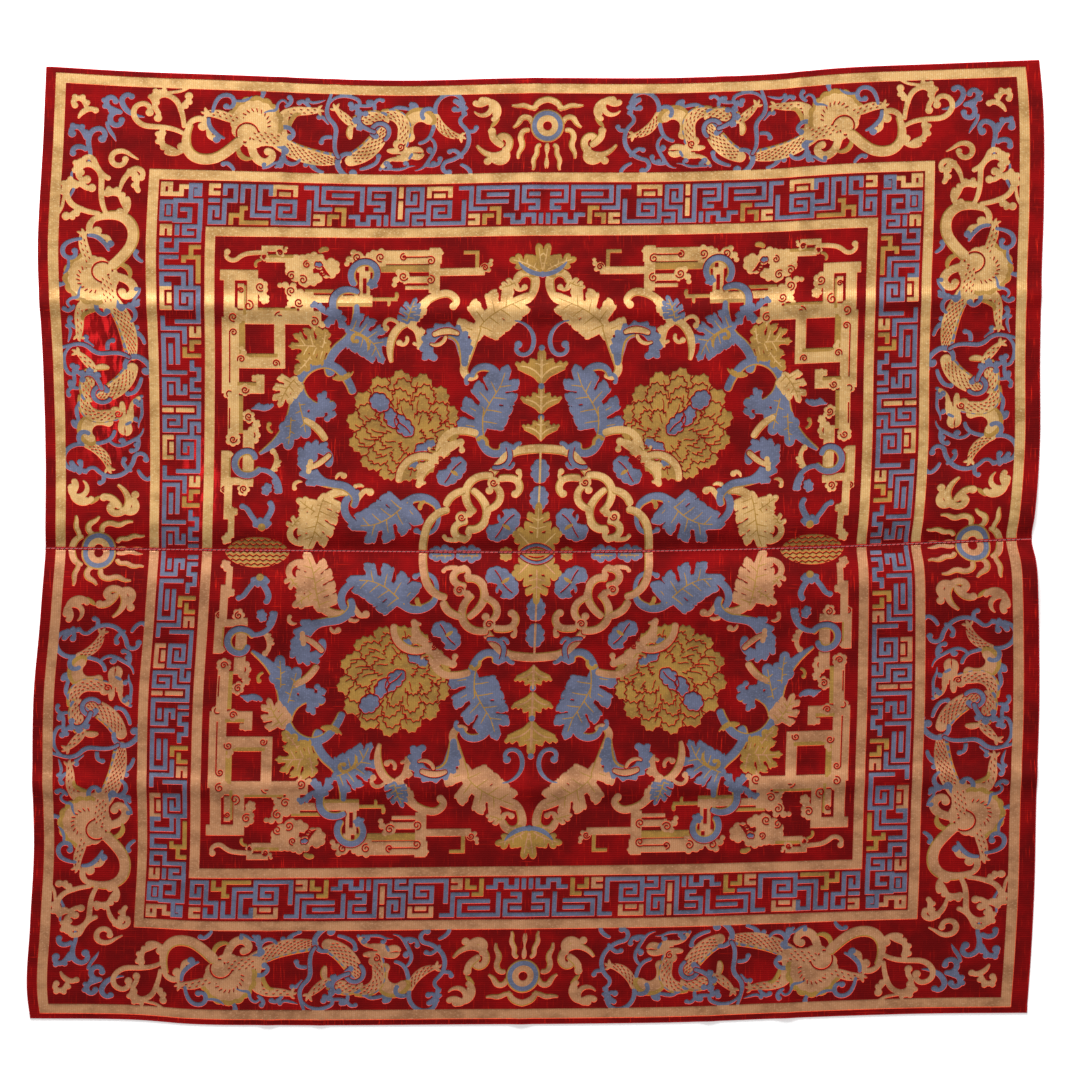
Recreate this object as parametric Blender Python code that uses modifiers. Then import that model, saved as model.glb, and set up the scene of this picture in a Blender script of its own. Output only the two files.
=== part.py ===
"""A cut velvet panel, laid out flat with its figured face up.

The panel is two loom lengths of silk velvet, woven alike, turned top to bottom and sewn edge to edge
across the middle. +X is the panel's right, +Y its top and +Z up. The origin is the middle of the panel's box,
at the level on which it lies. Lengths in the tables are millimetres.
"""

import math
from collections import namedtuple

import bmesh
import bpy
import numpy as np

MM = 0.001

# The cloth: ground weave, pile and turned-in hems are one sheet
CLOTH_THICKNESS = 2.0
SEAM_GAP = 0.3
COLUMN_PITCH = 44.0
ROW_PITCH = 44.0
SHOULDERS = (-1.0, -0.5, 0.0, 0.5, 1.0)
SEAM_FLAT = 4.0
SEAM_ROWS = (0.0, 0.15, 0.35, 0.6, 1.0)

# The swell on each side of the seam, past the narrow strip that lies flat beside the stitching
Swell = namedtuple("Swell", "height crest foot")
UPPER_SWELL = Swell(height=5.5, crest=34.0, foot=120.0)
LOWER_SWELL = Swell(height=6.5, crest=56.0, foot=150.0)

# Creases from folded storage: where each crosses the middle line, its height and how far it spreads
Crease = namedtuple("Crease", "name at height spread")
UPRIGHT_CREASES = (
    Crease("left quarter", -331.0, 2.2, 16.0),
    Crease("left quarter, second fold", -264.0, 1.6, 14.0),
    Crease("middle", -6.0, 2.4, 18.0),
    Crease("right quarter", 236.0, 1.8, 16.0),
    Crease("right quarter, second fold", 335.0, 2.2, 18.0),
)
LEVEL_CREASES = (
    Crease("upper quarter", 301.0, 3.0, 22.0),
    Crease("lower quarter", -320.0, 3.4, 24.0),
)

# The edges: along is the distance on the edge's main direction, across is where the cloth ends there
Station = namedtuple("Station", "along across")
TOP_EDGE = (
    Station(-636, 618),
    Station(-540, 612),
    Station(-410, 607),
    Station(-176, 600),
    Station(-46, 603),
    Station(188, 604),
    Station(318, 610),
    Station(370, 615),
    Station(526, 622),
    Station(654, 627),
)
SEAM_LINE = (
    Station(-639, -8),
    Station(-320, -11),
    Station(6, -13),
    Station(330, -8),
    Station(646, 4),
)
BOTTOM_EDGE = (
    Station(-657, -619),
    Station(-488, -622),
    Station(-436, -626),
    Station(-306, -628),
    Station(-72, -627),
    Station(84, -626),
    Station(214, -624),
    Station(318, -620),
    Station(422, -616),
    Station(526, -613),
    Station(639, -612),
)
LEFT_EDGE = (
    Station(-616, -657),
    Station(-595, -660),
    Station(-490, -657),
    Station(-388, -652),
    Station(-283, -654),
    Station(-179, -652),
    Station(-75, -642),
    Station(-23, -638),
    Station(133, -637),
    Station(237, -640),
    Station(393, -647),
    Station(523, -640),
    Station(617, -636),
)
RIGHT_EDGE = (
    Station(-613, 639),
    Station(-543, 644),
    Station(-465, 648),
    Station(-335, 651),
    Station(-205, 655),
    Station(-75, 653),
    Station(-23, 650),
    Station(4, 645),
    Station(29, 648),
    Station(107, 655),
    Station(237, 656),
    Station(341, 658),
    Station(445, 661),
    Station(575, 659),
    Station(626, 654),
)

VELVET_COLOUR = (0.24, 0.006, 0.012, 1.0)
LENGTHS = {"upper_length": UPPER_SWELL, "lower_length": LOWER_SWELL}


def clear_scene():
    for scene_object in list(bpy.data.objects):
        bpy.data.objects.remove(scene_object, do_unlink=True)


def velvet_material(name):
    material = bpy.data.materials.new(name)
    material.use_nodes = True
    shader = material.node_tree.nodes["Principled BSDF"]
    shader.inputs["Base Color"].default_value = VELVET_COLOUR
    shader.inputs["Roughness"].default_value = 0.85
    shader.inputs["Sheen Weight"].default_value = 0.6
    return material


def edge_at(edge, along):
    """Where the edge is at this distance along it, on a smooth line through its stations."""
    places = np.array([station.along for station in edge], dtype=float)
    values = np.array([station.across for station in edge], dtype=float)
    slopes = np.gradient(values, places)
    index = int(np.clip(np.searchsorted(places, along) - 1, 0, len(places) - 2))
    span = places[index + 1] - places[index]
    part = float(np.clip((along - places[index]) / span, 0.0, 1.0))
    start = values[index] * (1 + 2 * part) + slopes[index] * span * part
    finish = values[index + 1] * (3 - 2 * part) - slopes[index + 1] * span * (1 - part)
    return start * (1 - part) ** 2 + finish * part**2


def crease_height(crease, place):
    """A soft ridge: highest on the fold line and gone at its spread."""
    share = min(abs(place - crease.at) / crease.spread, 1.0)
    return crease.height * (1 - share) ** 2 * (1 + 2 * share)


def swell_height(swell, from_seam):
    """The cloth rises steeply beside the seam to its crest, then sinks back to the ground."""
    if from_seam < swell.crest:
        share = max(from_seam - SEAM_FLAT, 0.0) / (swell.crest - SEAM_FLAT)
        return swell.height * math.sin(math.pi / 2 * share)
    share = min((from_seam - swell.crest) / (swell.foot - swell.crest), 1.0)
    return swell.height * (1 + math.cos(math.pi * share)) / 2


def stations_between(low, high, pitch, fixed):
    """Even stations from low to high, with the fixed ones in place of those that lie close to them."""
    count = round((high - low) / pitch)
    even = [low + (high - low) * step / count for step in range(count + 1)]
    inner = [place for place in fixed if low < place < high]
    kept = [
        place for place in even[1:-1] if all(abs(place - other) > pitch / 4 for other in inner)
    ]
    return sorted([low, high] + inner + kept)


def crease_stations(creases):
    return [
        crease.at + side * crease.spread for crease in creases for side in SHOULDERS
    ]


def face_stations(is_upper, swell):
    """The columns across the cloth and the rows up it, as distances on its middle lines."""
    columns = stations_between(
        edge_at(LEFT_EDGE, 0.0), edge_at(RIGHT_EDGE, 0.0), COLUMN_PITCH, crease_stations(UPRIGHT_CREASES)
    )
    seam = edge_at(SEAM_LINE, 0.0)
    far = edge_at(TOP_EDGE if is_upper else BOTTOM_EDGE, 0.0)
    way = 1 if is_upper else -1
    fixed = [seam + way * (SEAM_FLAT + share * (swell.crest - SEAM_FLAT)) for share in SEAM_ROWS]
    fixed += [seam + way * (swell.crest + swell.foot) / 2, seam + way * swell.foot]
    fixed += crease_stations(LEVEL_CREASES)
    rows = stations_between(min(seam, far), max(seam, far), ROW_PITCH, fixed)
    return columns, rows


def cloth_point(column, row, is_upper, swell):
    """The underside of the cloth where this column and row cross, in millimetres."""
    left_middle = edge_at(LEFT_EDGE, 0.0)
    right_middle = edge_at(RIGHT_EDGE, 0.0)
    across = (column - left_middle) / (right_middle - left_middle)
    left, right = edge_at(LEFT_EDGE, row), edge_at(RIGHT_EDGE, row)
    x = left + (right - left) * across
    outer = TOP_EDGE if is_upper else BOTTOM_EDGE
    way = 1 if is_upper else -1
    seam_middle, outer_middle = edge_at(SEAM_LINE, 0.0), edge_at(outer, 0.0)
    share = (row - seam_middle) / (outer_middle - seam_middle)
    seam = edge_at(SEAM_LINE, x) + way * SEAM_GAP / 2
    y = seam + (edge_at(outer, x) - seam) * share
    z = swell_height(swell, abs(row - seam_middle))
    z += sum(crease_height(crease, column) for crease in UPRIGHT_CREASES)
    z += sum(crease_height(crease, row) for crease in LEVEL_CREASES)
    return x, y, z


def make_length(name, swell, collection):
    """One loom length: a grid shaped to the cloth's underside and thickened upwards."""
    is_upper = name.startswith("upper")
    columns, rows = face_stations(is_upper, swell)
    column_steps, row_steps = len(columns) - 1, len(rows) - 1
    sheet = bmesh.new()
    bmesh.ops.create_grid(sheet, x_segments=column_steps, y_segments=row_steps, size=1.0)
    for vertex in sheet.verts:
        column = columns[round((vertex.co.x + 1) / 2 * column_steps)]
        row = rows[round((vertex.co.y + 1) / 2 * row_steps)]
        vertex.co = [MM * value for value in cloth_point(column, row, is_upper, swell)]
    mesh = bpy.data.meshes.new(name)
    sheet.to_mesh(mesh)
    sheet.free()
    mesh.shade_smooth()
    mesh.materials.append(velvet_material(f"{name} crimson velvet"))
    length = bpy.data.objects.new(name, mesh)
    collection.objects.link(length)
    thicken = length.modifiers.new("cloth thickness", "SOLIDIFY")
    thicken.thickness = CLOTH_THICKNESS * MM
    thicken.offset = 1.0


def main():
    clear_scene()
    panel = bpy.data.collections.new("cut_velvet_panel")
    bpy.context.scene.collection.children.link(panel)
    for name, swell in LENGTHS.items():
        make_length(name, swell, panel)


main()
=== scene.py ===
"""A cut velvet panel, laid out flat: crimson silk pile with its figure in gilt, blue and olive weft.

The panel is two loom lengths, woven alike, turned top to bottom and sewn across the middle. The whole
figure is one quarter, mirrored left to right and top to bottom. Each quarter is drawn as strokes,
leaves, straps and petals of named sizes, turned into outlines, and laid on the cloth. Lengths are
millimetres until a mesh is made; +X is the panel's right, +Y its top and +Z up.
"""

import logging
import math
from collections.abc import Iterable, Sequence
from dataclasses import dataclass, field
from enum import IntEnum
from typing import Protocol

import bmesh
import bpy
import numpy as np
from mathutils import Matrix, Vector
from mathutils.geometry import delaunay_2d_cdt


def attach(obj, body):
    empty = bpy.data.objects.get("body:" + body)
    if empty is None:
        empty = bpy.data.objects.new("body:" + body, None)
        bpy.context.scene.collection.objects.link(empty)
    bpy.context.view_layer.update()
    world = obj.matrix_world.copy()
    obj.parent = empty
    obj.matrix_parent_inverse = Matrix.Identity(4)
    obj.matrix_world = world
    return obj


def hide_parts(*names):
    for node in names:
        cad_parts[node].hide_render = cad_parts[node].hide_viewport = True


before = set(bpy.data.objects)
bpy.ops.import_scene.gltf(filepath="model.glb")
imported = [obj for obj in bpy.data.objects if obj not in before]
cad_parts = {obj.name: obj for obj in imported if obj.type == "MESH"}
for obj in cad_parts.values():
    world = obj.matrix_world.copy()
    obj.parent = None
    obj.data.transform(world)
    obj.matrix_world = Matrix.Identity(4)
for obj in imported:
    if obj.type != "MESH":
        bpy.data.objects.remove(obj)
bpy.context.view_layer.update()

log = logging.getLogger("velvet panel")
MM = 0.001

Array = np.ndarray
Point = tuple[float, float]
Bends = tuple[float, ...]


class Yarn(IntEnum):
    """What shows at a place on the velvet's face."""

    PILE = 0
    GILT = 1
    BLUE = 2
    OLIVE = 3


@dataclass(frozen=True)
class Edge:
    """A smooth line through stations: (distance along its main direction, where the cloth ends there)."""

    stations: tuple[Point, ...]

    def at(self, along: Array | float) -> Array:
        """Follow the line.

        Args:
            along: Distances on the edge's main direction.

        Returns:
            Where the edge is at each of them.
        """
        places, values = np.array(self.stations, float).T
        slopes = np.gradient(values, places)
        along = np.clip(along, places[0], places[-1])
        index = np.clip(np.searchsorted(places, along) - 1, 0, len(places) - 2)
        span = places[index + 1] - places[index]
        part = (along - places[index]) / span
        start = values[index] * (1 + 2 * part) + slopes[index] * span * part
        finish = values[index + 1] * (3 - 2 * part) - slopes[index + 1] * span * (1 - part)
        return start * (1 - part) ** 2 + finish * part**2

    def bow(self, along: Array | float) -> Array:
        """How far the line stands off the straight one between its two ends."""
        (first, low), (last, high) = self.stations[0], self.stations[-1]
        return self.at(along) - (low + (high - low) * (along - first) / (last - first))


@dataclass(frozen=True)
class GiltFrame:
    """A gilt frame of the figure: its half sizes as drawn, and where its four corners lie on the cloth."""

    half_width: float
    half_height: float
    top_left: Point
    top_right: Point
    bottom_left: Point
    bottom_right: Point
    follow: float

    def side(self, first: Point, last: Point, axis: int, edge: Edge, along: Array) -> Array:
        """One side, straight between two corners with a share of the cloth edge's bow added.

        Args:
            first: The corner where the side starts.
            last: The corner where it ends.
            axis: 0 for a level side and 1 for an upright one.
            edge: The cloth edge beside it.
            along: Distances on the side's main direction.

        Returns:
            Where the side is at each of them.
        """
        part = (along - first[axis]) / (last[axis] - first[axis])
        straight = first[1 - axis] + (last[1 - axis] - first[1 - axis]) * part
        ends = edge.bow(first[axis]) * (1 - part) + edge.bow(last[axis]) * part
        return straight + self.follow * (edge.bow(along) - ends)


@dataclass(frozen=True)
class Crease:
    """A soft ridge from folded storage: where it crosses the middle line, its height and its spread."""

    at: float
    height: float
    spread: float

    def height_at(self, place: Array) -> Array:
        """The ridge is highest on its fold line and gone at its spread."""
        share = np.minimum(np.abs(place - self.at) / self.spread, 1.0)
        return self.height * (1 - share) ** 2 * (1 + 2 * share)


@dataclass(frozen=True)
class Swell:
    """The rise beside the seam: its height, where it is highest and where it ends."""

    height: float
    crest: float
    foot: float
    flat: float = 4.0

    def height_at(self, from_seam: Array) -> Array:
        """A steep rise past the flat strip to the crest, then a slow fall."""
        rise = np.clip(from_seam - self.flat, 0.0, None) / (self.crest - self.flat)
        fall = np.clip((from_seam - self.crest) / (self.foot - self.crest), 0.0, 1.0)
        near = np.sin(math.pi / 2 * np.minimum(rise, 1.0))
        return self.height * np.where(from_seam < self.crest, near, (1 + np.cos(math.pi * fall)) / 2)


@dataclass(frozen=True)
class PanelLay:
    """How the whole panel lies: its edges, its seam, its gilt frames and its creases."""

    half_width: float = 648.0
    half_height: float = 618.0
    seam_gap: float = 0.3
    middle_shift: float = 3.0
    top: Edge = Edge(
        ((-636, 618), (-540, 612), (-410, 607), (-176, 600), (-46, 603))
        + ((188, 604), (318, 610), (370, 615), (526, 622), (654, 627))
    )
    seam: Edge = Edge(((-639, -8), (-320, -11), (6, -13), (330, -8), (646, 4)))
    bottom: Edge = Edge(
        ((-657, -619), (-488, -622), (-436, -626), (-306, -628), (-72, -627), (84, -626))
        + ((214, -624), (318, -620), (422, -616), (526, -613), (639, -612))
    )
    left: Edge = Edge(
        ((-616, -657), (-595, -660), (-490, -657), (-388, -652), (-283, -654), (-179, -652), (-75, -642))
        + ((-23, -638), (133, -637), (237, -640), (393, -647), (523, -640), (617, -636))
    )
    right: Edge = Edge(
        ((-613, 639), (-543, 644), (-465, 648), (-335, 651), (-205, 655), (-75, 653), (-23, 650), (4, 645))
        + ((29, 648), (107, 655), (237, 656), (341, 658), (445, 661), (575, 659), (626, 654))
    )
    frames: tuple[GiltFrame, ...] = (
        GiltFrame(437, 423, (-429, 410), (445, 422), (-451, -436), (424, -425), 0.5),
        GiltFrame(510, 493, (-502, 485), (519, 496), (-522, -500), (496, -490), 0.8),
        GiltFrame(630, 611, (-623, 610), (636, 618), (-644, -612), (618, -604), 1.0),
    )
    upright_creases: tuple[Crease, ...] = (
        Crease(-331, 2.2, 16),
        Crease(-264, 1.6, 14),
        Crease(-6, 2.4, 18),
        Crease(236, 1.8, 16),
        Crease(335, 2.2, 18),
    )
    level_creases: tuple[Crease, ...] = (Crease(301, 3.0, 22), Crease(-320, 3.4, 24))

    def place(self, u: Array, v: Array, way: int, seam_row: float) -> tuple[Array, Array]:
        """Lay the drawn figure on the cloth.

        Args:
            u: Distances right of the figure's upright middle line.
            v: Distances above its level middle line.
            way: 1 for the upper length and -1 for the lower one.
            seam_row: The figure's row that lies on the seam.

        Returns:
            The x and y of each point on the panel.
        """
        uprights = {self.half_width: self.right.at(v), -self.half_width: self.left.at(v)}
        levels = {seam_row: self.seam.at(u) + way * self.seam_gap / 2}
        outer = self.top if way > 0 else self.bottom
        levels[way * self.half_height] = outer.at(u)
        for gilt in self.frames:
            uprights[-gilt.half_width] = gilt.side(gilt.bottom_left, gilt.top_left, 1, self.left, v)
            uprights[gilt.half_width] = gilt.side(gilt.bottom_right, gilt.top_right, 1, self.right, v)
            ends = (gilt.top_left, gilt.top_right) if way > 0 else (gilt.bottom_left, gilt.bottom_right)
            levels[way * gilt.half_height] = gilt.side(*ends, 0, outer, u)
        third = self.frames[0].half_width
        uprights[0.0] = (uprights[-third] + uprights[third]) / 2 + self.middle_shift
        return self.blend(uprights, u), self.blend(levels, v)

    @staticmethod
    def blend(lines: dict[float, Array], at: Array) -> Array:
        """Run evenly from each line to the next.

        Args:
            lines: Where each of the figure's lines lies, by its distance in the drawing.
            at: Distances in the drawing.

        Returns:
            Where each of them lies.
        """
        keys = sorted(lines)
        placed = np.zeros(len(at))
        for low, high in zip(keys, keys[1:]):
            between = (at >= low) & (at <= high)
            part = (at - low) / (high - low)
            placed = np.where(between, lines[low] + (lines[high] - lines[low]) * part, placed)
        return placed

    def height(self, x: Array, y: Array, way: int, swell: Swell) -> Array:
        """How high the cloth's underside lies above the ground.

        Args:
            x: Places on the panel.
            y: Places on the panel.
            way: 1 for the upper length and -1 for the lower one.
            swell: The rise beside the seam on this length.

        Returns:
            The height at each of them.
        """
        outer = self.top if way > 0 else self.bottom
        seam, seam_middle = self.seam.at(x), self.seam.at(0.0)
        share = (y - seam) / (outer.at(x) - seam)
        row = seam_middle + share * (outer.at(0.0) - seam_middle)
        left, right = self.left.at(row), self.right.at(row)
        left_middle, right_middle = self.left.at(0.0), self.right.at(0.0)
        column = left_middle + (x - left) / (right - left) * (right_middle - left_middle)
        rise = swell.height_at(np.abs(row - seam_middle))
        rise = rise + sum(crease.height_at(column) for crease in self.upright_creases)
        return rise + sum(crease.height_at(row) for crease in self.level_creases)


@dataclass
class Chart:
    """A quarter of the figure as four fields, one a yarn: how far each cell lies outside its areas."""

    width: float = 648.0
    height: float = 618.0
    below: float = 5.0
    cell: float = 0.5
    reach: float = 3.0
    fields: Array = field(init=False)

    def __post_init__(self) -> None:
        """Start with pile everywhere."""
        rows = round((self.height + self.below) / self.cell) + 1
        columns = round(self.width / self.cell) + 1
        self.fields = np.full((len(Yarn), rows, columns), self.reach, np.float32)
        self.fields[Yarn.PILE] = -self.reach

    def window(self, points: Array, margin: float) -> tuple[slice, slice]:
        """Find the cells about some points.

        Args:
            points: Places in the drawing, one a row.
            margin: How far past them the cells go.

        Returns:
            The rows and the columns.
        """
        low = (points.min(axis=0) - margin + (0, self.below)) / self.cell
        high = (points.max(axis=0) + margin + (0, self.below)) / self.cell + 2
        _, rows, columns = self.fields.shape
        first_column, first_row = np.clip(low, 0, (columns, rows)).astype(int)
        last_column, last_row = np.clip(high, 0, (columns, rows)).astype(int)
        return slice(first_row, last_row), slice(first_column, last_column)

    def places(self, window: tuple[slice, slice]) -> tuple[Array, Array]:
        """The x of a window's columns and the y of its rows, ready to spread over its cells."""
        rows, columns = window
        x = self.cell * np.arange(columns.start, columns.stop)[None, :]
        y = self.cell * np.arange(rows.start, rows.stop)[:, None] - self.below
        return x, y

    def lay(self, yarn: Yarn, window: tuple[slice, slice], outside: Array) -> None:
        """Lay one yarn over what is there.

        Args:
            yarn: The yarn that comes to the face.
            window: The cells that the shape reaches.
            outside: How far each of them lies outside the shape.
        """
        for other in Yarn:
            part = self.fields[(other, *window)]
            if other == yarn:
                np.minimum(part, outside, out=part)
            else:
                np.maximum(part, -outside, out=part)

    def stroke(self, yarn: Yarn, path: Array, radii: Array) -> None:
        """Draw a line whose width changes along it.

        Args:
            yarn: The yarn that it shows.
            path: Points on its middle.
            radii: Half its width at each of them.
        """
        window = self.window(path, float(radii.max()) + self.reach)
        outside = self.along(path, radii, window)
        if outside.size:
            self.lay(yarn, window, outside)

    def along(self, path: Array, radii: Array, window: tuple[slice, slice]) -> Array:
        """Measure how far each cell of a window lies outside a line of changing width.

        Args:
            path: Points on the line's middle.
            radii: Half its width at each of them.
            window: The cells.

        Returns:
            The distances, no greater than the chart's reach.
        """
        x, y = self.places(window)
        outside = np.full((y.size, x.size), self.reach, np.float32)
        for start, end, first, last in zip(path[:-1], path[1:], radii[:-1], radii[1:]):
            near = self.window(np.array((start, end)), max(first, last) + self.reach)
            rows = slice(max(near[0].start, window[0].start), min(near[0].stop, window[0].stop))
            columns = slice(max(near[1].start, window[1].start), min(near[1].stop, window[1].stop))
            if rows.start >= rows.stop or columns.start >= columns.stop:
                continue
            x, y = self.places((rows, columns))
            x, y = x - start[0], y - start[1]
            way = end - start
            part = np.clip((x * way[0] + y * way[1]) / (way @ way + 1e-9), 0, 1)
            away = np.hypot(x - part * way[0], y - part * way[1]) - (first + (last - first) * part)
            inner = outside[
                rows.start - window[0].start : rows.stop - window[0].start,
                columns.start - window[1].start : columns.stop - window[1].start,
            ]
            np.minimum(inner, away, out=inner)
        return outside

    def disc(self, yarn: Yarn, centre: Array, radius: float) -> None:
        """Draw a round spot of one yarn about a centre."""
        self.stroke(yarn, np.array((centre, centre + 1e-3)), np.full(2, radius))

    def strap(self, yarn: Yarn, corners: Array, width: float) -> None:
        """Draw a square-cornered line.

        Args:
            yarn: The yarn that it shows.
            corners: Its corners, each level with or straight above the one before.
            width: Its width.
        """
        half = width / 2
        window = self.window(corners, half + self.reach)
        x, y = self.places(window)
        if not x.size or not y.size:
            return
        outside = np.full((y.size, x.size), self.reach, np.float32)
        for (ax, ay), (bx, by) in zip(corners[:-1], corners[1:]):
            wide = np.maximum(min(ax, bx) - half - x, x - max(ax, bx) - half)
            high = np.maximum(min(ay, by) - half - y, y - max(ay, by) - half)
            away = np.hypot(np.maximum(wide, 0), np.maximum(high, 0))
            np.minimum(outside, away + np.minimum(np.maximum(wide, high), 0), out=outside)
        self.lay(yarn, window, outside)

    def patch(self, yarn: Yarn, outline: Array) -> None:
        """Fill a closed outline with one yarn.

        Args:
            yarn: The yarn that it shows.
            outline: Its corners in order.
        """
        window = self.window(outline, self.reach)
        x, y = self.places(window)
        if not x.size or not y.size:
            return
        inside = np.zeros((y.size, x.size), bool)
        for (ax, ay), (bx, by) in zip(outline, np.roll(outline, -1, axis=0)):
            if ay == by:
                continue
            rows = (y[:, 0] >= min(ay, by)) & (y[:, 0] < max(ay, by))
            crossing = ax + (y[rows, 0] - ay) / (by - ay) * (bx - ax)
            inside[rows] ^= x < crossing[:, None]
        rim = self.along(np.vstack((outline, outline[:1])), np.zeros(len(outline) + 1), window)
        self.lay(yarn, window, np.where(inside, -rim, rim))



PILE, GILT, BLUE, OLIVE = Yarn
# The fine pile lines that part the motifs, in mm
LINE = 1.7


def heading_to(way: Array) -> float:
    """The heading of a direction, in degrees anticlockwise from the right."""
    return math.degrees(math.atan2(way[1], way[0]))


def unit(heading: float) -> Array:
    """The direction of a heading, one long."""
    return np.array((math.cos(math.radians(heading)), math.sin(math.radians(heading))))


def walk(x: float, y: float, heading: float, bends: Bends, step: float = 1.5) -> Array:
    """Walk a line that turns evenly through each of its bends.

    Args:
        x: Where the line starts.
        y: Where the line starts.
        heading: The way in which it leaves.
        bends: The length of each bend, followed by the angle through which it turns.
        step: The distance between two points.

    Returns:
        The points, one a row.
    """
    place, points = np.array((x, y), float), [(x, y)]
    for length, turn in zip(bends[::2], bends[1::2]):
        count = max(2, math.ceil(abs(length) / step))
        for _ in range(count):
            place = place + length / count * unit(heading + turn / count / 2)
            heading += turn / count
            points.append(tuple(place))
    return np.array(points)


def sideways(path: Array) -> Array:
    """The direction to the left of a path at each of its points, one long."""
    ways = np.gradient(path, axis=0)
    ways /= np.maximum(np.hypot(*ways.T), 1e-6)[:, None]
    return np.stack((-ways[:, 1], ways[:, 0]), axis=1)


def heading_at(path: Array, share: float) -> tuple[Array, float]:
    """The point at a share of a path's length, and the path's heading there."""
    index = int(share * (len(path) - 1))
    after, before = min(index + 1, len(path) - 1), max(index - 1, 0)
    return path[index], heading_to(path[after] - path[before])


@dataclass(frozen=True)
class Pen:
    """Draws a group of motifs: one step along it, one step across it, and where it starts."""

    chart: Chart
    along: Point = (1.0, 0.0)
    across: Point = (0.0, 1.0)
    origin: Point = (0.0, 0.0)

    def lay(self, points: Array) -> Array:
        """Carry a group's own points into the drawing."""
        points = np.asarray(points, float)
        return self.origin + points[:, :1] * self.along + points[:, 1:] * self.across

    @property
    def hand(self) -> float:
        """1 where left stays left, and -1 where the group is turned over."""
        return math.copysign(1.0, self.along[0] * self.across[1] - self.along[1] * self.across[0])

    def brush(self, yarn: Yarn, path: Array, width: float, ends: Point = (1.0, 1.0)) -> None:
        """Draw a line that swells from one end's width to its full width and back.

        Args:
            yarn: The yarn that it shows.
            path: Points on its middle.
            width: Its full width, in the middle of its length.
            ends: Its width at the start and at the end, as shares of the full width.
        """
        path = self.lay(path)
        run = np.concatenate(((0.0,), np.cumsum(np.hypot(*np.diff(path, axis=0).T))))
        share = run / run[-1]
        end = np.where(share < 0.5, *ends)
        swell = np.maximum(end + (1 - end) * np.sin(math.pi * share), 0.12)
        self.chart.stroke(yarn, path, width / 2 * swell)

    def disc(self, yarn: Yarn, centre: Array, radius: float) -> None:
        """Draw a round spot."""
        self.chart.disc(yarn, self.lay([centre])[0], radius)

    def strap(self, yarn: Yarn, corners: Array, width: float) -> None:
        """Draw a square-cornered line."""
        self.chart.strap(yarn, self.lay(corners), width)

    def patch(self, yarn: Yarn, outline: Array) -> None:
        """Fill an outline."""
        self.chart.patch(yarn, self.lay(outline))


class Motif(Protocol):
    """Anything that a pen can draw."""

    def draw(self, pen: Pen) -> None:
        """Draw it."""


Motifs = tuple[Motif, ...]


@dataclass(frozen=True)
class Disc:
    """A round spot."""

    yarn: Yarn
    x: float
    y: float
    radius: float

    def draw(self, pen: Pen) -> None:
        """Draw it."""
        pen.disc(self.yarn, (self.x, self.y), self.radius)


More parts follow.
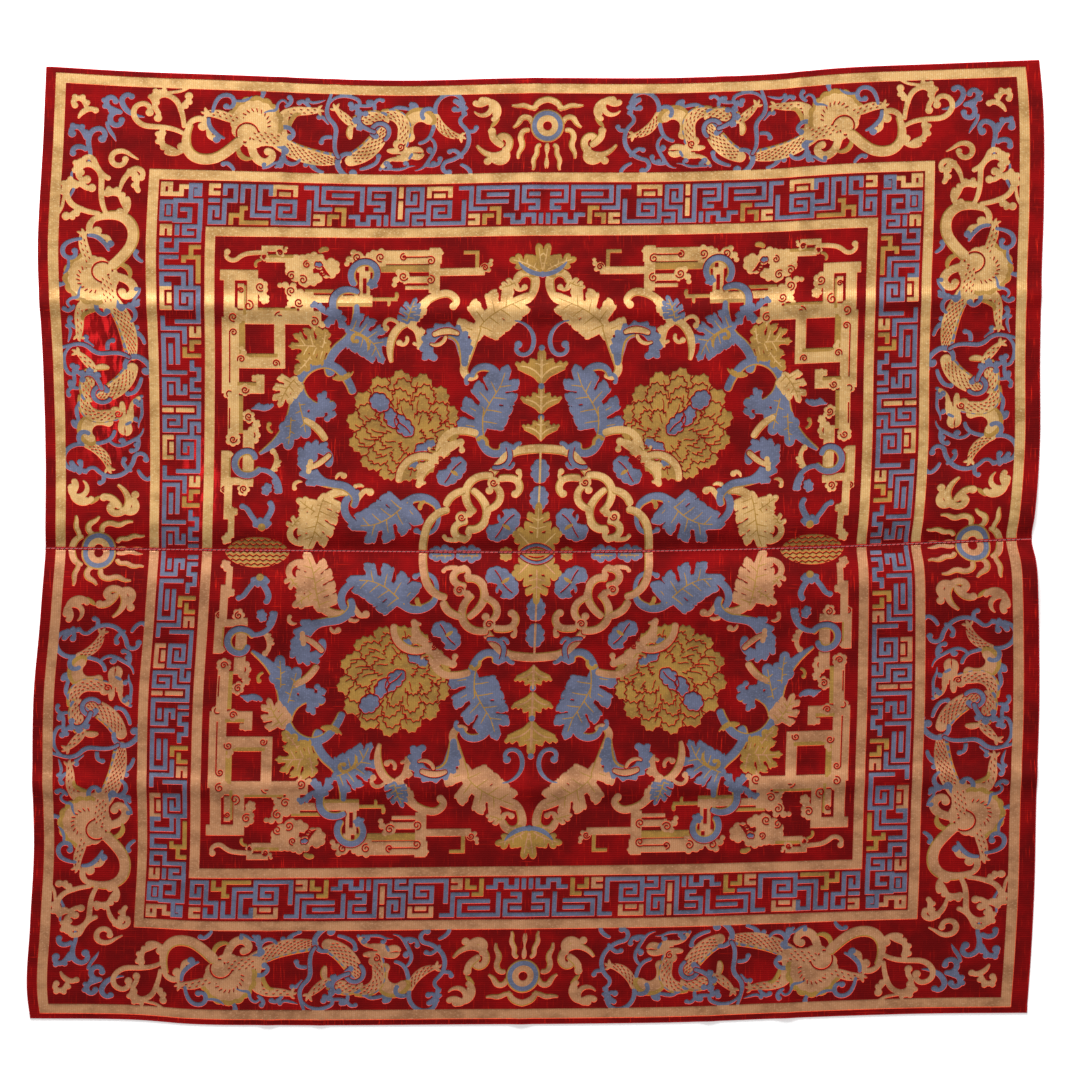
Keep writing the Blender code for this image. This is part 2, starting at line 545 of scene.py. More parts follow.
@dataclass(frozen=True)
class Scroll:
    """A curling line, with whatever grows on it.

    Start and end are its widths there, as shares of its width. A bulb is the round knob at its end, a
    shade the olive line at its side, a halo the pile line round it, and a fin the side on which its fin
    stands. Each curl has its share of the length, its side and its size. A crest is a row of teeth on one
    side: from and to which share, how many and how long, with 0 for round scallops.
    """

    yarn: Yarn
    x: float
    y: float
    heading: float
    bends: Bends
    width: float
    start: float = 0.9
    end: float = 0.9
    bulb: float = 0.0
    shade: float = 0.0
    curls: tuple[tuple[float, int, float], ...] = ()
    crest: tuple[float, float, int, float] = (0.0, 0.0, 0, 0.0)
    halo: float = 0.0
    scales: int = 0
    fin: int = 0
    claws: bool = False
    fin_width: float = 0.42
    fin_mark: float = 0.34
    curl_width: float = 0.72
    curl_knob: float = 0.46
    tooth_lean: float = 62
    tooth_turn: float = 35
    scale_reach: float = 1.2

    def draw(self, pen: Pen) -> None:
        """Draw it, from what lies under it to what lies on it."""
        path = walk(self.x, self.y, self.heading, self.bends)
        side = sideways(path)
        ends = (self.start, self.end)
        if self.fin:
            self.draw_fin(pen, path + side * self.fin * self.width * self.fin_width)
        if self.halo:
            pen.brush(PILE, path, self.width + self.halo * 2, ends)
        self.draw_crest(pen, path)
        if self.shade:
            pen.brush(OLIVE, path + side * self.shade * pen.hand, self.width, ends)
        pen.brush(self.yarn, path, self.width, ends)
        if self.bulb:
            pen.disc(self.yarn, path[-1], self.bulb)
        for share, hand, size in self.curls:
            root, heading = heading_at(path, share)
            turns = (size * 1.1, hand * 80, size * 0.9, hand * 130, size * 0.45, hand * 130)
            curl = walk(*root, heading + hand * 25, turns)
            pen.brush(self.yarn, curl, self.width * self.curl_width, (1.0, 0.9))
            pen.disc(self.yarn, curl[-1], self.width * self.curl_knob)
        for turn in (-55, 0, 50) if self.claws else ():
            _, heading = heading_at(path, 1.0)
            pen.brush(self.yarn, walk(*path[-1], heading + turn, (9, 35)), 4.0, (1.0, 0.2))
        if self.scales:
            self.draw_scales(pen, path, side)

    def draw_crest(self, pen: Pen, path: Array) -> None:
        """Draw the teeth or scallops along one side."""
        first, last, count, reach = self.crest
        hand, spacing = math.copysign(1.0, reach), (last - first) * len(path) * 1.5 / max(count, 1)
        for number in range(count):
            root, heading = heading_at(path, first + (last - first) * (number + 0.5) / count)
            if reach:
                tooth = walk(*root, heading + hand * self.tooth_lean, (abs(reach), -hand * self.tooth_turn))
                pen.patch(self.yarn, jagged(tooth, spacing * 1.3, 2))
            else:
                scallop = root - unit(heading + 90) * math.copysign(self.width * 0.4, self.bends[-1])
                pen.disc(self.yarn, scallop, self.width * 0.5)

    def draw_fin(self, pen: Pen, edge: Array) -> None:
        """Draw the olive and blue fin along one side of a body."""
        pen.brush(OLIVE, edge, self.width * self.fin_width, (0.5, 0.5))
        for index in range(2, len(edge) - 4, 8):
            pen.brush(BLUE, edge[index : index + 4], self.width * self.fin_mark, (0.7, 0.7))

    def draw_scales(self, pen: Pen, path: Array, side: Array) -> None:
        """Draw rows of short pile ticks over a body, staggered from row to row."""
        for index in range(3, len(path) - 2, 3):
            back = np.array((side[index][1], -side[index][0]))
            share = index / len(path)
            end = self.start if share < 0.5 else self.end
            width = self.width * max(0.2, end + (1 - end) * math.sin(math.pi * share))
            first = 0.75 if (index // 3) % 2 else 0.25
            for row in range(self.scales):
                place = path[index] + side[index] * ((row + first) / self.scales - 0.5) * 0.78 * width
                along = back * self.scale_reach
                tick = (place - along, place + along + side[index] * 0.7)
                pen.brush(PILE, tick, LINE, (0.9, 0.6))


@dataclass(frozen=True)
class Spiral:
    """A pile line that winds into a curl about its centre, as it marks the ends of straps and clouds."""

    x: float
    y: float
    size: float = 6.0
    heading: float = 180.0
    side: int = 1

    def draw(self, pen: Pen) -> None:
        """Draw it."""
        turns = np.linspace(0.0, 1.0, 26)
        angles = np.radians(self.heading + self.side * 480 * turns)
        around = np.stack((np.cos(angles), np.sin(angles)), axis=1)
        path = (self.x, self.y) + around * self.size * (1 - 0.8 * turns[:, None])
        pen.brush(PILE, path, LINE * 1.15, (1.0, 0.9))


def jagged(path: Array, breadth: float, teeth: int) -> Array:
    """The outline of a pointed blade with teeth down both sides.

    Args:
        path: Points on its curving middle.
        breadth: Its full breadth.
        teeth: The teeth on each side.

    Returns:
        The outline, one point a row.
    """
    side = sideways(path)
    number = np.arange(teeth)
    shares = np.stack((number, number + 0.8), axis=1).ravel() / teeth
    halves = breadth / 2 * np.interp(shares, (0.0, 0.45, 0.8, 1.0), (0.6, 1.0, 0.85, 0.3))
    halves[0::2] *= 0.78
    index = shares * (len(path) - 1)
    places = np.arange(len(path))
    middle = np.stack([np.interp(index, places, column) for column in path.T], axis=1)
    across = np.stack([np.interp(index, places, column) for column in side.T], axis=1) * halves[:, None]
    return np.concatenate((middle + across, path[-1:], (middle - across)[::-1]))


@dataclass(frozen=True)
class Leaf:
    """A cut leaf: hooked lobes of three points each, on both sides of a curving rib."""

    yarn: Yarn
    x: float
    y: float
    heading: float
    bends: Bends
    width: float
    lobes: int = 4
    vein: Yarn = Yarn.OLIVE
    rib_width: float = 0.44
    tip: float = 0.86
    point_width: float = 0.5
    point_lean: float = 52
    lobe_hook: float = 70

    def draw(self, pen: Pen) -> None:
        """Draw its rib, then each lobe from the root to the tip, then its veins."""
        rib = walk(self.x, self.y, self.heading, self.bends)
        ways = np.gradient(rib, axis=0)
        spacing = 0.85 * sum(self.bends[::2]) / self.lobes
        pen.brush(self.yarn, rib, self.width * self.rib_width, (0.6, 0.3))
        veins = []
        for number in range(self.lobes * 2 + 1):
            last = number == self.lobes * 2
            hand = 0 if last else 1 if number % 2 else -1
            share = self.tip if last else 0.04 + 0.8 * (number + 0.4) / (self.lobes * 2)
            index = int(share * (len(rib) - 1))
            reach = self.width * (0.42 if last else 0.66 * math.sin(math.pi * (0.34 + 0.5 * share)))
            heading = heading_to(ways[index]) + hand * (84 - 44 * share)
            middle = walk(*rib[index], heading, (reach * 0.5, hand * 12, reach * 0.5, -hand * self.lobe_hook))
            breadth = max(spacing * (1.0 - 0.2 * share), 4.0)
            pen.brush(self.yarn, middle, breadth, (1.0, 0.22))
            fork = middle[len(middle) // 2]
            for side in (1, -1):
                point = walk(*fork, heading + side * self.point_lean, (reach * 0.42, -side * 40))
                pen.brush(self.yarn, point, breadth * self.point_width, (1.0, 0.15))
            veins.append(middle[: int(len(middle) * 0.6)])
        for line in (rib[1 : int(len(rib) * 0.92)], *veins):
            pen.brush(self.vein, line, LINE * 0.9, (1.0, 0.5))


@dataclass(frozen=True)
class Strap:
    """A straight strap with square ends, which runs to the right and up from where it starts."""

    yarn: Yarn
    x: float
    y: float
    right: float
    up: float
    width: float

    def draw(self, pen: Pen) -> None:
        """Draw it."""
        pen.strap(self.yarn, [(self.x, self.y), (self.x + self.right, self.y + self.up)], self.width)


@dataclass(frozen=True)
class CloudHead:
    """A scalloped head: an oval with round lobes about its rim.

    Long and short are half its length and half its breadth, and turn is the way in which its length lies.
    Spiral is the size of the curl marked on it, and outline the width of the pile line round it.
    """

    yarn: Yarn
    x: float
    y: float
    long: float
    short: float
    turn: float = 0.0
    lobes: int = 7
    spiral: float = 0.0
    outline: float = 0.0
    core: float = 0.84
    lobe_place: float = 0.68
    lobe_size: float = 0.5

    def draw(self, pen: Pen) -> None:
        """Draw it, over its outline and under its spiral where it has them."""
        centre, way, side = np.array((self.x, self.y)), unit(self.turn), unit(self.turn + 90)
        radius = self.short * self.core
        span = way * max(self.long * self.core - radius, 0.01)
        passes = ((PILE, self.outline), (self.yarn, 0.0)) if self.outline else ((self.yarn, 0.0),)
        for yarn, extra in passes:
            for number in range(self.lobes):
                angle = 360 * (number + 0.5) / self.lobes
                along, across = unit(angle) * (self.long, self.short) * self.lobe_place
                pen.disc(yarn, centre + way * along + side * across, self.short * self.lobe_size + extra)
            pen.chart.stroke(yarn, pen.lay((centre - span, centre + span)), np.full(2, radius + extra))
        if self.spiral:
            Spiral(self.x, self.y, self.spiral, self.turn + 180).draw(pen)


@dataclass(frozen=True)
class StrapEnd:
    """The curled end of a strap: a round head with a spiral, two knobs and a nose."""

    yarn: Yarn
    x: float
    y: float
    heading: float
    size: float

    def draw(self, pen: Pen) -> None:
        """Draw it."""
        for angle, far, round_size in ((0, 0, 1), (75, 1.0, 0.5), (10, 1.35, 0.55), (-8, 2.0, 0.42)):
            place = (self.x, self.y) + unit(self.heading + angle) * far * self.size
            pen.disc(self.yarn, place, round_size * self.size)
        Spiral(self.x, self.y, self.size * 0.75, self.heading - 120).draw(pen)


@dataclass(frozen=True)
class Peony:
    """Rings of pointed petals with jagged edges about a heart, each petal edged with a pile line.

    Each ring has its share of the flower's radius, its count of petals, the breadth of a petal as a share
    of the radius, and the angle of the first.
    """

    x: float
    y: float
    radius: float
    heart: Point
    rings: tuple[tuple[float, int, float, float], ...] = (
        (1.0, 14, 0.5, 8),
        (0.84, 11, 0.42, 22),
        (0.66, 9, 0.36, 2),
        (0.46, 6, 0.3, 28),
    )

    def petal(self, root: Array, heading: float, length: float, breadth: float, teeth: int = 6) -> Array:
        """Shape one petal.

        Args:
            root: Where it grows from.
            heading: The way in which it points.
            length: Its length.
            breadth: Its breadth below its jagged edge.
            teeth: The points on its edge.

        Returns:
            Its outline from the root round the edge, one point a row.
        """
        way, side = unit(heading), unit(heading + 90)
        outline = [root]
        for number in range(teeth * 2 + 1):
            angle = math.radians(-80 + 160 * number / (teeth * 2))
            tooth = 1.5 if number % 2 else -1.5
            reach = length * (1 - 0.24 * abs(angle) ** 1.5) + tooth
            outline.append(root + way * reach + side * (breadth / 2 + tooth) * math.sin(angle))
        return np.array(outline)

    def draw(self, pen: Pen) -> None:
        """Draw its rings of petals, from the outermost inwards."""
        centre, heart = np.array((self.x, self.y)), np.array(self.heart)
        pen.disc(OLIVE, centre, self.radius * 0.88)
        for share, count, breadth, first in self.rings:
            for number in range(count):
                tip = centre + self.radius * share * unit(first + 360 * number / count)
                length = np.hypot(*(tip - heart)) * 0.7
                heading = heading_to(tip - heart)
                root = tip - unit(heading) * length
                outline = self.petal(root, heading, length, self.radius * breadth)
                pen.patch(OLIVE, outline)
                pen.brush(PILE, outline[1:], LINE * 0.8)
                start = root + unit(heading - 14) * length * 0.35
                vein = walk(*start, heading + 20, (length * 0.2, -40, length * 0.25, 40))
                pen.brush(PILE, vein, LINE * 0.75, (1.0, 0.8))


@dataclass(frozen=True)
class SeedHead:
    """A domed seed head: overlapping scales in rows, each edged with a pile line."""

    x: float
    y: float
    wide: float
    high: float
    rows: int

    def draw(self, pen: Pen) -> None:
        """Draw its dome, then its scales row by row."""
        around = [unit(angle) * (self.wide, self.high) for angle in range(0, 181, 12)]
        pen.patch(OLIVE, np.array(around) + (self.x, self.y))
        scale = self.high / self.rows
        for row in range(self.rows + 1):
            level = scale * row
            half = self.wide * math.sqrt(max(1 - (level / self.high) ** 2, 0.02)) - scale * 0.5
            shift = 0.5 * (row % 2)
            for place in np.arange(-math.ceil(half / scale) / 1.6, half / scale / 1.6):
                x = self.x + (place + shift) * scale * 1.6
                if abs(x - self.x) > half:
                    continue
                for side in (-1, 1):
                    line = walk(x, self.y + level, 90 + side * 58, (scale * 1.05, side * 8))
                    pen.brush(PILE, line, LINE * 0.85, (1.0, 0.8))


def around(x: float, y: float, far: float, angles: range) -> list[tuple[float, float, int]]:
    """Places at one distance about a centre, each with its angle."""
    return [(*((x, y) + far * unit(angle)), angle) for angle in angles]


@dataclass(frozen=True)
class BorderDragon:
    """Half of a border: the flaming pearl in its middle, clouds, a dragon among vines and its tail.

    Places run along the border from the pearl, and outward from the border's middle line. Each hook has its
    start, its heading, its reach and how far it turns.
    """

    vine: float = 6.0
    cloud: float = 7.0
    rim: float = 1.6
    hooks: tuple[tuple[float, ...], ...] = (
        (150, 25, 10, 18, 30), (170, 30, 100, 10, -90), (180, 35, 20, 14, -50), (225, 35, 90, 9, -90),
        (245, 30, 70, 8, -90), (310, 35, 60, 10, -80), (340, 35, 150, 9, -90), (385, 40, 170, 12, -60),
        (285, 15, 60, 9, -60), (275, -5, 20, 13, -80), (105, 5, 200, 9, -80), (110, -30, 60, 12, -70),
        (110, -40, 200, 13, 80), (155, -40, 190, 13, -80), (240, -45, 170, 18, -60), (215, -45, 120, 9, 90),
        (290, -50, 10, 15, 80), (300, -45, 60, 9, -90), (350, -45, 160, 9, -80), (405, -50, 60, 10, -70),
    )
    motifs: Motifs = (
        # The pearl and the flames about it
        Scroll(GILT, -5, 45, 0, (12, -20, 16, -55), 7, 1, 0.6, 0, rim),
        Scroll(GILT, 15, 35, -20, (10, 50, 12, -40, 10, 25), 5, 0.8, 0.3, 0, -rim),
        Scroll(GILT, 20, 15, 80, (12, -75, 10, -70, 12, 35), 6, 0.8, 0.3, 0, -rim),
        Scroll(GILT, 25, 5, 15, (10, -75, 12, -55, 12, 60, 12, -45), 6, 0.8, 0.3, 0, -rim),
        Scroll(GILT, 10, -15, -20, (8, -80, 10, 45, 10, -50, 8, 40), 5, 0.8, 0.3, 0, -rim),
        Scroll(GILT, 0, -15, -75, (10, -40, 10, 50, 12, -30), 6, 0.8, 0.2),
        Disc(OLIVE, 0, 10, 22),
        Disc(BLUE, 0, 10, 20),
        Disc(GILT, 0, 10, 14),
        Disc(PILE, 0, 10, 6),
        # The two gilt clouds beside the pearl
        Scroll(OLIVE, 65, 20, -60, (14, 20), 6, end=0.2),
        Scroll(GILT, 70, 20, 150, (12, -60, 14, -60, 12, -60, 12, 60), 8, end=1, crest=(0.1, 0.6, 4, 0)),
        Scroll(GILT, 95, 30, 230, (14, -60, 14, -70, 12, -70, 8, -60), cloud, 0.3, 1, 5),
        Scroll(GILT, 90, -15, 235, (20, -35, 18, -50, 16, -60, 12, -80, 8, -90), 8, 0.3, 1, 5, rim),
        Scroll(GILT, 60, -15, 30, (12, 20, 12, 50), 8, 0.9, 0.9, 5, rim),
        Scroll(GILT, 55, -20, 225, (10, 40, 10, 70, 12, 60, 10, -70), 7, bulb=5, crest=(0.1, 0.8, 4, 0)),
        # The blue vine between the clouds and the dragon
        Scroll(BLUE, 165, -10, 170, (20, -60, 30, -25, 34, 90, 26, 100, 14, 120), vine, 0.8, 0.9, 4),
        Scroll(BLUE, 110, 25, -30, (14, -110, 14, 30, 26, 60, 24, 40, 10, -70, 14, -110), vine, 0.8, 0.9, 4),
        Scroll(BLUE, 120, 45, 200, (12, 40, 10, 60), 8, end=0.3, crest=(0.2, 1, 3, -7)),
        Scroll(
            BLUE, 150, -5, -140, (18, 75, 20, 10, 16, 50), 5, 0.8, 0.3, curls=((0.35, 1, 7), (0.6, -1, 8))
        ),
        # The fine blue hooks along both sides of the border
        *(
            Scroll(BLUE, x, y, heading, (reach, turn * 0.4, reach * 0.7, turn), 5.5, 0.8, 0.9, 3.5)
            for x, y, heading, reach, turn in hooks
        ),
        # The front arm, the coils of the neck, the back, the belly and the loin
        Scroll(GILT, 145, 25, -105, (20, -30, 24, -40), 12, 0.7, 0.5, scales=2, claws=True),
        Scroll(OLIVE, 150, 20, 60, (22, -70, 22, -80, 10, -20), 18, 0.7, 0.7),
        Scroll(GILT, 155, 20, 50, (18, -70, 22, -80, 10, -20), 15, 0.7, 0.8),
        Scroll(BLUE, 145, 30, 60, (16, -80, 14, -110), vine, 0.6, 0.9, 3),
        Scroll(GILT, 190, -15, 105, (22, -10, 26, -80, 14, -25), 16, 0.8, 0.6, scales=2, fin=1),
        Scroll(GILT, 210, 20, 25, (18, -30, 22, -20), 17, 0.5, 0.6, scales=2, fin=1),
        Scroll(GILT, 245, 15, -5, (16, 45, 20, 5), 11, 0.8, 0.5, scales=1, claws=True),
        Scroll(GILT, 210, 10, -65, (34, 18, 30, 30), 21, 0.55, 0.7, scales=3, fin=1),
        Scroll(GILT, 270, -35, 0, (40, 14, 44, 22), 19, 0.45, 1, scales=3, fin=1),
        # The skull, the snout, the jaw, the antlers and the whisker
        Disc(GILT, 185, -25, 10),
        Scroll(GILT, 185, -20, -5, (20, 10), 9, 1, 0.6),
        Scroll(GILT, 185, -30, -10, (16, 10), 7, 1, 0.5),
        Scroll(GILT, 180, -20, 160, (14, 30, 6, 40), 8, end=0.3),
        Scroll(GILT, 180, -25, -160, (12, -10, 8, -60), 9, end=0.5),
        Scroll(GILT, 190, -30, 0, (16, -25, 10, -45), 5, 0.9, 0.8, 3),
        Scroll(GILT, 195, -15, 20, (8, 120, 6, 120), 5, 0.9, 0.8, 3),
        Spiral(190, -15, 5, -80, -1),
        Scroll(PILE, 190, -25, -3, (14, 5), LINE),
        Scroll(BLUE, 175, -25, -60, (6, 0), 4),
        # The blue vine that winds over the body
        Scroll(BLUE, 210, -5, 140, (12, -55, 18, -90, 16, -80, 10, -90), vine, bulb=4, halo=1),
        Scroll(
            BLUE, 225, 5, 15, (18, 20, 14, 75, 10, 90), vine, 0.9, 0.8, 4, crest=(0.3, 0.9, 3, -9), halo=1
        ),
        Scroll(GILT, 255, 10, -70, (14, -40), 7, 0.8, 0.5, 0, rim),
        Scroll(BLUE, 255, -25, 10, (12, -50, 18, -80, 20, -40, 12, -40), 7, 0.8, 0.8, curls=((0.85, -1, 8),)),
        Scroll(BLUE, 270, -30, 50, (14, 35, 18, 15, 18, -60, 20, 60, 18, 10), vine, 0.8, 0.7, halo=1),
        Scroll(BLUE, 285, 40, 120, (20, 50, 22, 40, 12, 110, 12, 120), 5, 0.6, 0.9, 4),
        Scroll(BLUE, 250, 40, 190, (16, -15, 12, -50, 10, 90), 5, 0.8, 0.9, 3),
        Scroll(
            BLUE, 210, -45, 175, (14, 10, 14, -30, 12, 30), 4, 0.8, 0.3, curls=((0.1, -1, 8), (0.75, -1, 6))
        ),
        # The rear legs, the scaled hip and the blue ring before it
        Scroll(GILT, 350, 15, 115, (20, 50, 18, 15, 18, -10), 12, 0.8, 0.6, scales=1, claws=True),
        Scroll(OLIVE, 335, 10, 100, (14, 30, 8, 60), 6, end=0.6),
        Scroll(GILT, 340, 25, -80, (16, 0, 14, -60), 10, 0.8, 0.4, claws=True),
        Scroll(BLUE, 340, -20, 0, (16, 70, 22, 90, 16, 80, 10, 110), vine, bulb=4),
        *(Disc(OLIVE, x, y, 9) for x, y, _ in around(380, 10, 29, range(20, 190, 24))),
        *(Disc(GILT, x, y, 9.5) for x, y, _ in around(380, 10, 22, range(0, 360, 24))),
        Disc(GILT, 380, 10, 22),
        Scroll(GILT, 345, -10, 5, (40, 10), 20, 0.8, 1, scales=2),
        *(
            Scroll(PILE, x, y, angle - 30, (4, 0), LINE)
            for x, y, angle in around(380, 10, 17, range(10, 200, 18))
        ),
        Scroll(PILE, 375, 0, 75, (24, -90, 22, -95, 16, -80, 8, -80), 2.4),
        Scroll(GILT, 400, 15, 5, (20, 15, 22, -25), 12, end=0.7, scales=1, claws=True),
        Scroll(GILT, 385, -15, -110, (14, 0, 16, -50, 18, -100, 10, -110), 11, 0.9, 0.7, 5),
        Scroll(OLIVE, 400, -20, -80, (14, -60, 14, -60), 7, 0.6, 0.5),
        # The tail scroll, its branches and the last vines
        Scroll(GILT, 400, -15, -45, (26, 10, 30, 45, 30, 75, 24, 30), 12, 1, 0.5, 0, 2),
        Scroll(GILT, 465, 5, 110, (16, 60, 16, 80, 12, 20, 8, -90), 8, 0.8, 0.8, 4, curls=((0.6, 1, 8),)),
        Scroll(GILT, 470, 5, 85, (28, -20, 20, -50, 18, -85, 14, -60, 10, 60), cloud, 0.8, 0.9, 5),
        Scroll(GILT, 490, 45, 30, (12, -30, 12, -80, 8, -80), cloud, bulb=5, crest=(0.1, 0.9, 3, 0)),
        Scroll(GILT, 500, 45, 160, (16, 15, 16, -25, 14, 15), 4, end=0.3),
        Scroll(GILT, 475, 25, 110, (14, 25, 8, -60), cloud, bulb=5, crest=(0.2, 0.9, 2, 0)),
        Scroll(GILT, 470, -5, 30, (24, -25, 20, -5, 24, 65, 24, 115, 16, 110), cloud, 0.8, 0.9, 5),
        Scroll(
            GILT, 495, 0, -40, (14, -60, 14, -60, 14, 10, 8, -90), cloud, 0.8, 0.9, 4, crest=(0.1, 0.6, 3, 0)
        ),
        Scroll(GILT, 495, -5, -60, (14, -50, 12, -60), 7, bulb=5),
        Scroll(GILT, 490, -30, 200, (14, -40, 10, -90), 7, bulb=5),
        Scroll(BLUE, 435, 25, 95, (16, 25, 18, 75, 14, 90, 12, 110), vine, 0.7, 0.9, 4),
        Scroll(BLUE, 440, 15, -85, (14, -45, 20, -30), vine, 0.8, 0.6, curls=((0.8, 1, 7),)),
        Scroll(BLUE, 405, 40, 190, (12, -30, 10, -30), 4, 0.8, 0.3),
        Scroll(BLUE, 320, -35, -60, (12, 60, 14, 70, 10, 60), vine, 0.6, 0.9, 5, curls=((0.6, -1, 9),)),
        Scroll(BLUE, 345, -40, 20, (10, -60, 14, 30), 4, 0.8, 0.5, curls=((0.9, 1, 5),)),
        Scroll(BLUE, 340, 40, 60, (8, -90, 10, -60, 8, 90, 12, -30), 4, 0.8, 0.4),
        Scroll(BLUE, 290, 45, -20, (14, 10, 10, 60), 4, 0.3, 0.9, 3),
    )


@dataclass(frozen=True)
class CornerScrolls:
    """The cloud scrolls in the square where two borders meet."""

    vine: float = 7.0
    motifs: Motifs = (
        Scroll(BLUE, 520, 560, 0, (18, 30, 16, 40, 12, 80, 8, 80), vine, 0.3, 0.9, 4),
        Scroll(BLUE, 550, 565, 20, (12, 0, 12, 80, 10, 100, 6, 60), vine, bulb=4, crest=(0.2, 0.7, 3, 0)),
        Scroll(BLUE, 550, 565, 10, (12, -70, 12, -80, 10, -80, 6, -60), vine, 1, 0.9, 4),
        Scroll(BLUE, 565, 550, -100, (14, -30, 12, 20), 5, end=0.2),
        Scroll(GILT, 600, 555, 110, (14, 40, 12, 60), vine, 0.4, 0.9, 4),
        Scroll(GILT, 590, 565, 80, (12, -20, 12, -90, 10, -110), vine, 0.6, 0.9, 4, crest=(0.2, 0.8, 3, 0)),
        Scroll(BLUE, 585, 500, 110, (16, -40, 16, 30, 16, 70, 12, 90, 8, 70), vine, 0.5, 0.9, 5),
        Scroll(BLUE, 590, 530, 70, (12, -20, 12, -90, 8, -90), vine, bulb=5, crest=(0.1, 0.8, 3, 0)),
        Scroll(BLUE, 590, 515, 40, (12, -60, 10, -90), vine, bulb=4),
        Scroll(BLUE, 605, 485, -80, (12, -40, 12, 60, 14, -20), 4, 0.7, 0.4),
        Scroll(GILT, 525, 505, 25, (14, 10, 16, -60, 16, -100, 14, -90, 8, -60), 7, 0.3, 0.9, 4),
        Scroll(GILT, 545, 465, 95, (16, 25, 14, 20, 12, 80, 10, 90), vine, 0.5, 0.9, 4),
        Scroll(GILT, 535, 490, 180, (10, 60, 10, 40, 10, -50), vine, 0.8, 0.9, 3, crest=(0.1, 0.9, 3, 0)),
        Scroll(GILT, 560, 480, 20, (14, 30, 14, 20, 12, -90, 10, -100), vine, bulb=4),
        Scroll(GILT, 595, 500, -30, (10, -60, 10, -90), vine, bulb=4, crest=(0.1, 0.9, 2, 0)),
    )


